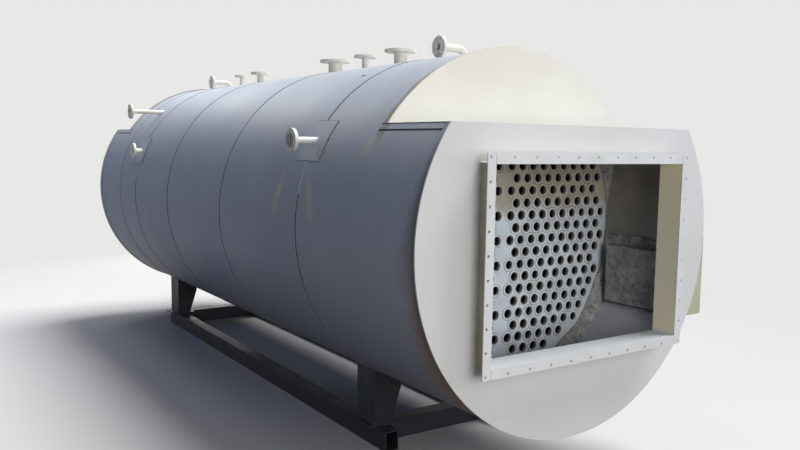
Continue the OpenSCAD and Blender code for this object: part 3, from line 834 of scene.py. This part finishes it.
def ring_on_points(material: Material) -> GrownShape:
    """A bead ring on each point, lying across Y, with small differences in size and turn.

    Args:
        material: the finish that it starts with.

    Returns:
        The tree, ready to grow.
    """
    shape = GrownShape("ring_on_points")
    radius = shape.size("Ring Radius", 0.027)
    bead = shape.size("Bead Radius", 0.0035)
    spread = shape.size("Spread", 0.08)
    seed = shape.size("Seed", 3)
    tree = shape.tree
    circle = add(tree, "GeometryNodeCurvePrimitiveCircle", {"Resolution": 20, "Radius": radius})
    profile = add(tree, "GeometryNodeCurvePrimitiveCircle", {"Resolution": 6, "Radius": bead})
    ring = add(tree, "GeometryNodeCurveToMesh", {0: circle, 1: profile})
    upright = add(tree, "GeometryNodeTransform", {"Geometry": ring, "Rotation": (math.pi / 2, 0.0, 0.0)})
    low = add(tree, "ShaderNodeMath", {0: 1.0, 1: spread}, operation="SUBTRACT")
    high = add(tree, "ShaderNodeMath", {0: 1.0, 1: spread}, operation="ADD")
    scale = add(tree, "FunctionNodeRandomValue", {2: low, 3: high, "Seed": seed}, data_type="FLOAT")
    turn = add(tree, "FunctionNodeRandomValue", {2: 0.0, 3: 2 * math.pi, "Seed": seed}, data_type="FLOAT")
    turned = add(tree, "ShaderNodeCombineXYZ", {1: turn})
    placed = add(tree, "GeometryNodeInstanceOnPoints", {
        "Points": shape.source.outputs["Geometry"], "Instance": upright, "Rotation": turned, "Scale": scale,
    })
    shape.close(placed, material)
    return shape


def weld_run(material: Material) -> GrownShape:
    """A rippled weld bead along each path.

    Args:
        material: the finish that it starts with.

    Returns:
        The tree, ready to grow.
    """
    shape = GrownShape("weld_run")
    bead = shape.size("Bead Radius", 0.004)
    step = shape.size("Step", 0.006)
    ripple = shape.size("Ripple", 0.18)
    wander = shape.size("Wander", 0.0012)
    tree = shape.tree
    curve = add(tree, "GeometryNodeMeshToCurve", {0: shape.source.outputs["Geometry"]})
    even = add(tree, "GeometryNodeResampleCurve", {"Curve": curve, "Length": step}, mode="LENGTH")
    rough = add(tree, "ShaderNodeTexNoise", {"Scale": 60.0, "Detail": 1.0}).outputs["Color"]
    middle = add(tree, "ShaderNodeVectorMath", {0: rough, 1: (0.5, 0.5, 0.5)}, operation="SUBTRACT")
    shift = add(tree, "ShaderNodeVectorMath", {0: middle, "Scale": wander}, operation="SCALE")
    moved = add(tree, "GeometryNodeSetPosition", {"Geometry": even, "Offset": shift})
    number = add(tree, "GeometryNodeInputIndex")
    turn = add(tree, "ShaderNodeMath", {0: number, 1: 2.1}, operation="MULTIPLY")
    wave = add(tree, "ShaderNodeMath", {0: turn}, operation="SINE")
    width = add(tree, "ShaderNodeMath", {0: wave, 1: ripple, 2: 1.0}, operation="MULTIPLY_ADD")
    swollen = add(tree, "GeometryNodeSetCurveRadius", {"Curve": moved, "Radius": width})
    profile = add(tree, "GeometryNodeCurvePrimitiveCircle", {"Resolution": 6, "Radius": bead})
    run = add(tree, "GeometryNodeCurveToMesh", {0: swollen, 1: profile, "Fill Caps": True})
    shape.close(run, material)
    return shape


@dataclass
class Part:
    """What every group of added pieces works from."""

    boiler: Boiler
    palette: Palette


@dataclass
class TubeField(Part):
    """The fire tubes' ends: a ring of weld and a groove round each one on both tube plates."""

    pitch: float = 0.071
    lane_w: float = 0.084
    top_row_h: float = 0.381
    rows: int = 18
    field_r: float = 0.696
    tube_r: float = 0.0255
    bead_r: float = 0.0052
    groove_w: float = 0.0010
    groove_spread: float = 0.03

    def centres(self, y: float) -> list[list[Vector]]:
        """The tubes' centres on the plane y of the boiler's own coordinates.

        Args:
            y: a tube plate's face.

        Returns:
            One path of one point for each tube.
        """
        found = []
        for row in range(self.rows):
            z = self.top_row_h - row * self.pitch * math.sqrt(3) / 2
            start = self.lane_w / 2 + (self.pitch / 2 if row % 2 == 0 else 0.0)
            reach = math.sqrt(max(0.0, self.field_r ** 2 - z ** 2))
            for step in range(math.floor((reach - start) / self.pitch) + 1):
                x = start + step * self.pitch
                found += [[self.boiler.place(side.value * x, y, z)] for side in Side]
        return found

    def build(self) -> None:
        """Grows the weld rings of both tube plates and the grooves round them."""
        tree = ring_on_points(self.palette.weld)
        weld_r = self.tube_r + self.bead_r * 0.6
        for end in End:
            centres = self.centres(self.boiler.tube_y(end))
            welds = tree.grow(centres, self.palette.weld, Ring_Radius=weld_r, Bead_Radius=self.bead_r)
            publish(f"{end.label}_tube_welds", welds, Slot.TUBE)
            grooves = tree.grow(centres, self.palette.groove, Ring_Radius=weld_r + self.bead_r,
                                Bead_Radius=self.groove_w, Spread=self.groove_spread)
            publish(f"{end.label}_tube_grooves", grooves, Slot.TUBE_PLATE)


@dataclass(frozen=True)
class Slab:
    """An uneven upright slab along the boiler, with its face turned to the axis.

    Its face is at x from the axis, from y[0] to y[1] and from z[0] to z[1]. The face has a share, relief,
    of the castable's roughness, its edges go back by depth, and its top wanders by ragged.
    """

    x: float
    y: tuple[float, float]
    z: tuple[float, float]
    relief: float
    depth: float
    ragged: float = 0.0


@dataclass
class Refractory(Part):
    """The rough castable against the tube plates and at the cleanout, and the side walls beside it."""

    ring_r: float = 0.731
    ring_l: float = 0.050
    lip: float = 0.3
    ring_ragged: float = 0.016
    ring_worn: float = 0.006
    cell: float = 0.006
    wall_x: float = 0.726
    wall_set: float = 0.0085
    wall_gap: float = 0.003
    panel: Slab = Slab(0.658, (0.080, 0.425), (-0.396, -0.096), 0.55, 0.078, 0.012)
    ledge: Slab = Slab(0.712, (0.100, 0.488), (-0.130, -0.045), 1.0, 0.030, 0.050)
    crack_r: float = 0.003
    crack_set: float = 0.002
    edge_w: float = 0.012
    # Bumps for each metre, and how far they stand out: lumps, grit and fine grit
    bumps: tuple[tuple[float, float], ...] = ((14.0, 0.009), (55.0, 0.003), (140.0, 0.0015))

    def rough(self, point: Vector) -> float:
        """How far the surface stands out at a point."""
        return sum(noise.noise(point * rate) * height for rate, height in self.bumps)

    def ring(self, end: End) -> Mesh:
        """The castable ring's face and inner edge.

        Args:
            end: the end of the boiler that it is at.

        Returns:
            An open mesh from the wrapper, over the face and inner edge, to the tube plate.
        """
        boiler, out_y = self.boiler, end.value
        outer = boiler.wrapper_r
        limit = math.acos((boiler.roof_h - boiler.wrapper_t) / outer)
        around = int(2 * (math.pi - limit) * outer / self.cell)
        face_steps = int((outer - self.ring_r) / self.cell)
        edge_steps = int(self.ring_l / self.cell)
        last = face_steps + edge_steps
        rows = []
        for i in range(around + 1):
            angle = limit + (2 * math.pi - 2 * limit) * i / around
            ragged = self.ring_ragged * noise.noise(Vector((math.cos(angle), math.sin(angle), 0)) * 6)
            row = []
            for j in range(last + 1):
                on_face = min(j, face_steps) / face_steps
                down_edge = max(0, j - face_steps) / edge_steps
                r = outer + (self.ring_r - outer) * on_face
                proud = self.ring_l * (1 - (1 - self.lip) * on_face) * (1 - down_edge)
                y = boiler.tube_y(end) + out_y * proud
                bump = self.rough(boiler.round(r, angle, y))
                if 0 < j < last:
                    r += ragged * on_face - bump * down_edge
                    y += out_y * (bump * (1 - down_edge) - self.ring_worn * on_face ** 6)
                row.append(boiler.round(r, angle, y))
            rows.append(row)
        skin = Skin()
        skin.cover(rows, flipped=end is End.FRONT)
        return skin.mesh(self.palette.castable)

    def slab(self, side: Side, slab: Slab, material: Material) -> Mesh:
        """The face of a slab and its four edges.

        Args:
            side: the side of the boiler that it is on.
            slab: its place and sizes.
            material: its finish.

        Returns:
            An open mesh.
        """
        low, high = slab.z
        start, stop = slab.y
        up, along = int((high - low) / self.cell), int((stop - start) / self.cell)
        rows = []
        for i in range(-1, up + 2):
            share = min(max(i, 0), up) / up
            row = []
            for j in range(-1, along + 2):
                y = start + (stop - start) * min(max(j, 0), along) / along
                wander = slab.ragged * noise.noise(Vector((y * 13.0, slab.x * 90.0, 0.0)))
                z = low + share * (high - low + wander)
                worn = min(1.0, min(i, up - i, j, along - j) * self.cell / self.edge_w)
                bump = slab.relief * self.rough(self.boiler.place(side.value * slab.x, y, z)) * worn
                on_edge = i in (-1, up + 1) or j in (-1, along + 1)
                x = slab.x + (slab.depth if on_edge else -bump)
                row.append(self.boiler.place(side.value * x, y, z))
            rows.append(row)
        skin = Skin()
        skin.cover(rows, flipped=side is Side.RIGHT)
        return skin.mesh(material)

    def side_walls(self) -> None:
        """Builds the flat side walls of both smokeboxes, from the end plate to the tube plate."""
        reach = math.sqrt(self.boiler.wrapper_r ** 2 - self.wall_x ** 2)
        for end in End:
            outer = self.boiler.plate_y(end) - end.value * self.wall_set
            inner = self.boiler.tube_y(end) + end.value * self.wall_gap
            span = (min(outer, inner), max(outer, inner))
            for side in Side:
                wall = Slab(self.wall_x, span, (-reach, reach), 0.12, 0.006)
                mesh = self.slab(side, wall, self.palette.side_wall)
                publish(f"{end.label}_{side.label}_wall", mesh, Slot.CASTABLE, smooth_deg=50)

    def build(self) -> None:
        """Builds the side walls, the rough skin over the cleanout's plug and both rings."""
        self.side_walls()
        for name, slab in (("cleanout_plug_skin", self.panel), ("broken_ledge", self.ledge)):
            mesh = self.slab(Side.RIGHT, slab, self.palette.castable)
            publish(name, mesh, Slot.CASTABLE, smooth_deg=60)
        foot = [self.boiler.place(self.panel.x - self.crack_set, y, self.panel.z[0]) for y in self.panel.y]
        gap = self.palette.gap
        crack = weld_run(gap).grow([foot], gap, Bead_Radius=self.crack_r, Wander=2 * self.crack_r)
        publish("cleanout_crack", crack, Slot.CASTABLE)
        for end in End:
            publish(f"{end.label}_castable_rim", self.ring(end), Slot.CASTABLE,
                    replaced=(f"{end.label}_castable_ring",), smooth_deg=60)


@dataclass(frozen=True)
class Gap:
    """A thin band on the casing, for an opening, a joint, a painted shadow or a filler: along y and round the
    axis in degrees, from the top to +X.
    """

    y: tuple[float, float]
    angle_deg: tuple[float, float]
    radius: float


@dataclass
class Joints(Part):
    """The dark bands of the cladding's open lap joints, painted shadows at the folded covers and two small
    openings.

    The widths and the covered stretches are those of the five joints from the front. A nozzle's patch and
    the paste under it cover a stretch, in degrees from the top down the left side.
    """

    gap_w: tuple[float, ...] = (0.0110, 0.0105, 0.0095, 0.0080, 0.0025)
    cover_deg: tuple[tuple[float, float] | None, ...] = ((54.0, 78.9), None, None, (60.5, 83.3), None)
    fold_shadow_h: float = 0.007
    fold_rim_h: float = 0.001
    rise: float = 0.0007
    steps: int = 240
    slot: Gap = Gap((0.905, 0.954), (-60.55, -60.05), 0.870)
    hole: Gap = Gap((1.160, 1.186), (-28.30, -27.20), 0.870)

    def band(self, material: Material, *gaps: Gap) -> Mesh:
        """Thin bands that stand a hair's breadth out of the sheets.

        Args:
            material: their finish.
            *gaps: the place of each one.

        Returns:
            A mesh with one closed solid for each gap.
        """
        skin = Skin()
        for gap in gaps:
            start, end = (math.radians(v) for v in gap.angle_deg)
            low, high = gap.radius - self.rise, gap.radius + self.rise
            section = ((low, gap.y[0]), (high, gap.y[0]), (high, gap.y[1]), (low, gap.y[1]))
            count = max(2, int(self.steps * (end - start) / (2 * math.pi)))
            angles = [start + (end - start) * i / count for i in range(count + 1)]
            rows = [[self.boiler.round(r, angle, y) for r, y in section] for angle in angles]
            skin.cover(rows, closed=True)
        return skin.mesh(material)

    def fold_shadows(self) -> list[Gap]:
        """The painted shadows over and under the folded edges of both flat covers.

        Returns:
            Two on the left and two on the right of each cover.
        """
        boiler = self.boiler
        front = (boiler.fold_set, boiler.front_top_l + boiler.fold_past)
        rear = (boiler.casing_l - boiler.rear_top_l - boiler.fold_past, boiler.casing_l - boiler.fold_set)
        levels = (
            (boiler.casing_r, boiler.flat_top_h - boiler.fold_h, self.fold_shadow_h),
            (boiler.casing_r + boiler.sheet_t, boiler.flat_top_h - self.fold_rim_h, self.fold_shadow_h / 2),
        )
        gaps = []
        for y in (front, rear):
            for radius, top, height in levels:
                first, last = (math.degrees(math.acos(z / radius)) for z in (top, top - height))
                gaps += [Gap(y, (first, last), radius), Gap(y, (-last, -first), radius)]
        return gaps

    def build(self) -> None:
        """Builds the joints of all sheets, the painted fold shadows, the slot and the hole."""
        palette, radius = self.palette, self.boiler.casing_r
        for number, (seam, width, cover) in enumerate(zip(self.boiler.seams, self.gap_w, self.cover_deg), 1):
            top, bottom = cover or (0.0, 0.0)
            joint = Gap((seam - width, seam), (-top, 360.0 - bottom), radius)
            publish(f"sheet_joint_{number}", self.band(palette.joint, joint), Slot.CLADDING)
            if cover:
                filled = Gap(joint.y, (360.0 - bottom, 360.0 - top), radius)
                publish(f"joint_filler_{number}", self.band(palette.cladding, filled), Slot.CLADDING)
        # Painted shadow: dark bands under and over each cover's lifted fold
        publish("fold_shadows", self.band(palette.gap, *self.fold_shadows()), Slot.CLADDING)
        publish("small_openings", self.band(palette.gap, self.slot, self.hole), Slot.CLADDING)


@dataclass
class Welds(Part):
    """Weld runs of the duct collars and flanges."""

    bead: float = 0.0035
    seam_r: float = 0.0009
    seam_set: float = 0.0005

    def flange_seams(self) -> list[list[Vector]]:
        """The butt seams between the upright and the level angles of both flanges.

        Returns:
            One path for each corner.
        """
        boiler = self.boiler
        x = boiler.duct_w / 2 - boiler.angle_leg
        reach = boiler.duct_out - self.seam_set
        paths = []
        for end in End:
            y = boiler.plate_y(end) + end.value * reach
            for side in Side:
                for up in (-1, 1):
                    rim = boiler.duct_z + up * boiler.duct_h / 2
                    heights = (rim - up * boiler.angle_leg, rim)
                    paths.append([boiler.place(side.value * x, y, z) for z in heights])
        return paths

    def build(self) -> None:
        """Grows the weld runs round the collars and the seams of the flanges."""
        boiler, cream = self.boiler, self.palette.cream
        tree = weld_run(cream)
        past = boiler.collar_t - boiler.angle_leg
        half_w, half_h = (size / 2 + past for size in (boiler.duct_w, boiler.duct_h))
        for end in End:
            corners = [boiler.place(x * half_w, boiler.plate_y(end), boiler.duct_z + z * half_h)
                       for x, z in ((-1, -1), (1, -1), (1, 1), (-1, 1))]
            mesh = tree.grow([corners], cream, closed=True, Bead_Radius=self.bead)
            publish(f"{end.label}_collar_weld", mesh, Slot.CREAM)
        seams = tree.grow(self.flange_seams(), self.palette.gap, Bead_Radius=self.seam_r, Wander=0.0002)
        publish("flange_seams", seams, Slot.FLANGE)


@dataclass
class SkidWelds(Part):
    """Weld runs of the legs, their base plates and the beams."""

    leg_y: tuple[float, float] = (0.972, 4.143)
    leg_l: float = 0.184
    leg_out: float = 0.435
    leg_foot_w: float = 0.103
    leg_top_w: float = 0.163
    beam_h: float = 0.106
    beam_w: float = 0.080
    base_t: float = 0.012
    base_margin: float = 0.008
    cross_w: float = 0.092
    cross_set: tuple[float, float] = (0.036, 0.100)
    bead: float = 0.0045
    top_bead: float = 0.003
    top_steps: int = 6

    def feet(self, side: Side, y: float, cross_y: float) -> list[list[Vector]]:
        """The runs at one leg's foot.

        Args:
            side: the side of the boiler.
            y: the leg's front face.
            cross_y: the cross beam's front face.

        Returns:
            One path for each run.
        """
        place = self.boiler.place
        beam_top = self.beam_h - self.boiler.axis_h
        base_top = beam_top + self.base_t
        outer, inner, beam_in = (side.value * x for x in (
            self.leg_out, self.leg_out - self.leg_foot_w, self.leg_out - self.beam_w))
        back = y + self.leg_l
        foot = [(outer, y), (inner, y), (inner, back), (outer, back), (outer, y)]
        paths = [[place(x, at, base_top) for x, at in foot]]
        ends = (y - self.base_margin, back + self.base_margin)
        paths += [[place(x, at, beam_top) for at in ends] for x in (outer, beam_in)]
        low, cross_end = 2 * self.bead - self.boiler.axis_h, cross_y + self.cross_w
        corners = ((cross_y, low), (cross_y, beam_top), (cross_end, beam_top), (cross_end, low))
        paths.append([place(beam_in, at, z) for at, z in corners])
        return paths

    def top(self, side: Side, y: float) -> list[Vector]:
        """The joint between a leg and the cladding, round the leg.

        Args:
            side: the side of the boiler.
            y: the leg's front face.

        Returns:
            A path that ends where it starts.
        """
        r, back = self.boiler.casing_r, y + self.leg_l
        outer, inner = (math.asin(x / r) for x in (self.leg_out, self.leg_out - self.leg_top_w))
        across = [outer + (inner - outer) * i / self.top_steps for i in range(self.top_steps + 1)]
        path = [(a, y) for a in across] + [(a, back) for a in reversed(across)] + [(outer, y)]
        return [self.boiler.round(r, side.value * (math.pi - a), at) for a, at in path]

    def build(self) -> None:
        """Grows the skid's runs and the dark joints round the tops of the legs."""
        skid, gap = self.palette.skid, self.palette.gap
        tree = weld_run(skid)
        runs, tops = [], []
        for y, cross in zip(self.leg_y, self.cross_set):
            for side in Side:
                runs += self.feet(side, y, y + cross)
                tops.append(self.top(side, y))
        publish("skid_welds", tree.grow(runs, skid, Bead_Radius=self.bead), Slot.SKID)
        publish("leg_top_joints", tree.grow(tops, gap, Bead_Radius=self.top_bead), Slot.SKID)


@dataclass
class Seals(Part):
    """Paste and thin gaps round what stands on the cladding.

    A top pipe is x, y and radius, a side pipe y, z and the radius of the surface that it leaves, and a
    patch the y and z of its middle.
    """

    top_pipes: tuple[tuple[float, float, float], ...] = (
        (0.0, 1.437, 0.038), (0.0, 1.827, 0.0212), (0.0, 2.208, 0.0445), (0.0, 3.409, 0.0242),
        (0.0, 3.790, 0.0135), (0.116, 0.990, 0.0212), (0.116, 4.320, 0.0212),
    )
    side_pipes: tuple[tuple[float, float, float], ...] = (
        (1.030, 0.428, 0.8738), (4.014, 0.643, 0.870), (3.845, 0.335, 0.8738),
    )
    side_pipe_r: float = 0.0169
    seal_gap: float = 0.002
    patches: tuple[tuple[float, float], ...] = ((1.030, 0.428), (3.845, 0.335))
    patch_w: float = 0.230
    patch_h: float = 0.196
    patch_rise: float = 0.0015
    patch_steps: int = 8
    rim_steps: int = 80
    points: int = 24

    def pipe_rings(self) -> list[list[Vector]]:
        """A ring round each pipe where it leaves the casing.

        Returns:
            One path for each pipe, which ends where it starts.
        """
        boiler, rings = self.boiler, []
        angles = [2 * math.pi * i / self.points for i in range(self.points + 1)]
        turns = [(math.cos(a), math.sin(a)) for a in angles]
        for x, y, pipe_r in self.top_pipes:
            r = pipe_r + self.seal_gap
            rings.append([boiler.round(boiler.casing_r, math.asin((x + r * c) / boiler.casing_r), y + r * s)
                          for c, s in turns])
        r = self.side_pipe_r + self.seal_gap
        for y, z, surface_r in self.side_pipes:
            rings.append([boiler.on_left(surface_r, y + r * c, z + r * s) for c, s in turns])
        return rings

    def patch_edges(self) -> list[list[Vector]]:
        """The outline of each nozzle's patch, on the casing.

        Returns:
            One path for each patch, which ends where it starts.
        """
        edges = []
        for y, z in self.patches:
            front, back = y - self.patch_w / 2, y + self.patch_w / 2
            heights = [z + self.patch_h * (i / self.patch_steps - 0.5) for i in range(self.patch_steps + 1)]
            outline = [(front, h) for h in heights] + [(back, h) for h in reversed(heights)]
            outline.append(outline[0])
            r = self.boiler.casing_r + self.patch_rise
            edges.append([self.boiler.on_left(r, at, h) for at, h in outline])
        return edges

    def upper_rim(self) -> list[Vector]:
        """The edge of the front upper plate.

        Returns:
            The points of its arc from one end to the other.
        """
        boiler = self.boiler
        limit = math.acos(boiler.flat_top_h / boiler.plate_r)
        y = boiler.front_top_l + 4 * MM
        return [boiler.round(boiler.plate_r - MM, limit * (2 * i / self.rim_steps - 1), y)
                for i in range(self.rim_steps + 1)]

    def build(self) -> None:
        """Grows the rings, the patches' outlines and the rim's paste."""
        palette = self.palette
        tree = weld_run(palette.paste)
        rings = tree.grow(self.pipe_rings(), palette.cladding, Bead_Radius=0.003)
        publish("pipe_seals", rings, Slot.CLADDING)
        edges = tree.grow(self.patch_edges(), palette.gap, Bead_Radius=0.0016, Wander=0.0008)
        publish("patch_edges", edges, Slot.CLADDING)
        rim = tree.grow([self.upper_rim()], palette.paste, Bead_Radius=0.003, Wander=0.004)
        publish("upper_rim_paste", rim, Slot.CREAM)


@dataclass(frozen=True)
class Viewpoint:
    """The photograph's camera, solved from the boiler's own edges."""

    place: tuple[float, float, float] = (-2.5781, -4.8731, 1.578)
    yaw_deg: float = 33.835
    pitch_deg: float = 5.808
    roll_deg: float = 0.889
    lens_mm: float = 35.653
    sensor_mm: float = 36.0

    def build(self) -> None:
        """Makes the camera and the scene's active one."""
        yaw, pitch, roll = (math.radians(v) for v in (self.yaw_deg, self.pitch_deg, self.roll_deg))
        ahead = Vector((math.sin(yaw) * math.cos(pitch), math.cos(yaw) * math.cos(pitch), -math.sin(pitch)))
        level = Vector((math.cos(yaw), -math.sin(yaw), 0.0))
        upright = level.cross(ahead)
        right = math.cos(roll) * level + math.sin(roll) * upright
        up = math.cos(roll) * upright - math.sin(roll) * level
        data = bpy.data.cameras.new("photograph_view")
        data.lens = self.lens_mm
        data.sensor_width = self.sensor_mm
        camera = bpy.data.objects.new("photograph_view", data)
        turn = Matrix((right, up, -ahead)).transposed().to_4x4()
        camera.matrix_world = Matrix.Translation(Vector(self.place)) @ turn
        bpy.context.scene.collection.objects.link(camera)
        bpy.context.scene.camera = camera


@dataclass(frozen=True)
class Lamp:
    """A soft lamp: a far one that lights evenly, or a near rectangle where it has a size."""

    name: str
    place: tuple[float, float, float]
    aim: tuple[float, float, float]
    power: float
    size: tuple[float, float] | None = None
    spread_deg: float = 50.0
    colour: str = "#FFFFFF"

    def build(self) -> None:
        """Makes the lamp and turns it to its aim."""
        data = bpy.data.lights.new(self.name, "AREA" if self.size else "SUN")
        if self.size:
            data.shape = "RECTANGLE"
            data.size, data.size_y = self.size
        else:
            data.angle = math.radians(self.spread_deg)
        data.energy = self.power
        data.color = linear(self.colour)[:3]
        lamp = bpy.data.objects.new(self.name, data)
        lamp.location = self.place
        lamp.rotation_euler = (Vector(self.aim) - Vector(self.place)).to_track_quat("-Z", "Y").to_euler()
        bpy.context.scene.collection.objects.link(lamp)


@dataclass(frozen=True)
class Studio:
    """A pale floor, a pale backdrop and plain soft light."""

    floor_colour: str = "#C6C6C4"
    floor_bounce: str = "#4B4641"
    floor_reach: float = 60.0
    backdrop: str = "#E8E8E6"
    ambient: str = "#93B0EC"
    ambient_strength: float = 0.05
    fade: tuple[float, float] = (3.6, 6.4)
    lamps: tuple[Lamp, ...] = (
        Lamp("overhead", (3.5, -0.5, 6.3), (0.0, 0.0, 0.0), 4.45, spread_deg=36.0),
        Lamp("front_fill", (0.4, -8.0, 2.2), (0.0, 0.0, 0.0), 1.05, spread_deg=60.0),
        Lamp("near_fill", (-1.6, -7.4, 1.6), (0.0, -2.4, 1.1), 112.0, (2.5, 2.0)),
        Lamp("right_fill", (3.4, -5.4, 1.8), (0.9, -2.5, 1.2), 27.0, (1.5, 1.5), colour="#D8E4FF"),
        Lamp("rear_top", (-0.5, 4.2, 4.4), (0.0, 2.0, 1.9), 52.0, (2.0, 2.0)),
        Lamp("rear_left_fill", (-6.0, 4.0, 3.2), (0.0, 1.0, 1.3), 42.0, (3.0, 3.0), colour="#668DF2"),
        Lamp("rear_fill", (1.4, 6.5, 0.8), (0.0, 2.5, 1.1), 60.0, (2.0, 1.0)),
    )

    def seen(self, tree: NodeTree) -> Node:
        """Tells what the camera, a reflection or a see-through surface shows from scattered light.

        Args:
            tree: the world's or a material's tree.

        Returns:
            A node that gives 1 for what is shown and 0 for scattered light.
        """
        path = add(tree, "ShaderNodeLightPath").outputs
        mirrored = add(tree, "ShaderNodeMath", {
            0: path["Is Glossy Ray"], 1: path["Is Transmission Ray"],
        }, operation="MAXIMUM")
        return add(tree, "ShaderNodeMath", {0: path["Is Camera Ray"], 1: mirrored}, operation="MAXIMUM")

    def world(self) -> None:
        """Lights the object softly and shows a pale backdrop to the camera and to reflections."""
        world = bpy.data.worlds.new("studio")
        bpy.context.scene.world = world
        world.use_nodes = True
        tree = world.node_tree
        tree.nodes.clear()
        light, shown = (add(tree, "ShaderNodeBackground", {"Color": linear(colour), "Strength": strength})
                        for colour, strength in ((self.ambient, self.ambient_strength), (self.backdrop, 1.0)))
        mixed = add(tree, "ShaderNodeMixShader", {0: self.seen(tree), 1: light, 2: shown})
        add(tree, "ShaderNodeOutputWorld", {0: mixed})

    def floor_paint(self) -> Material:
        """The floor's finish: pale where it is seen, darker to scattered light, fading to the backdrop.

        Returns:
            The material.
        """
        material = bpy.data.materials.new("pale_studio_floor")
        material.use_nodes = True
        tree = material.node_tree
        tree.nodes.clear()
        where = add(tree, "ShaderNodeTexCoord").outputs["Object"]
        far = add(tree, "ShaderNodeVectorMath", {0: where}, operation="LENGTH")
        pale, dark = (add(tree, "ShaderNodeBsdfDiffuse", {0: linear(colour)})
                      for colour in (self.floor_colour, self.floor_bounce))
        sky = add(tree, "ShaderNodeEmission", {0: linear(self.backdrop), 1: 1.0})
        faded = add(tree, "ShaderNodeMixShader", {0: mask(tree, (far, *self.fade)), 1: pale, 2: sky})
        mixed = add(tree, "ShaderNodeMixShader", {0: self.seen(tree), 1: dark, 2: faded})
        add(tree, "ShaderNodeOutputMaterial", {0: mixed})
        return material

    def floor(self) -> None:
        """Makes the floor's plane under the skid."""
        mesh = bpy.data.meshes.new("floor")
        reach = self.floor_reach
        corners = [(-reach, -reach, 0), (reach, -reach, 0), (reach, reach, 0), (-reach, reach, 0)]
        mesh.from_pydata(corners, [], [(0, 1, 2, 3)])
        mesh.materials.append(self.floor_paint())
        floor = bpy.data.objects.new("floor", mesh)
        bpy.context.scene.collection.objects.link(floor)
        floor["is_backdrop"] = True

    def build(self) -> None:
        """Builds the world, the floor and the lamps."""
        bpy.context.scene.view_settings.view_transform = "Standard"
        self.world()
        self.floor()
        for lamp in self.lamps:
            lamp.build()


def corners(box: tuple[Sequence[float], Sequence[float]]) -> list[list[float]]:
    """A box's two corners as plain lists."""
    return [[float(v) for v in corner] for corner in box]


def main() -> None:
    """Builds the boiler's looks in order and measures the sizes before and after."""
    logging.basicConfig(level=logging.INFO, format="%(message)s")
    solid_box = corners(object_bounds())
    Viewpoint().build()
    boiler = Boiler()
    palette = Palette(boiler)
    Dresser(palette).dress()
    for part in (TubeField, Refractory, Joints, Welds, SkidWelds, Seals):
        part(boiler, palette).build()
    Studio().build()
    {"cad": solid_box, "visual": corners(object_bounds())}


if __name__ == "__main__":
    main()
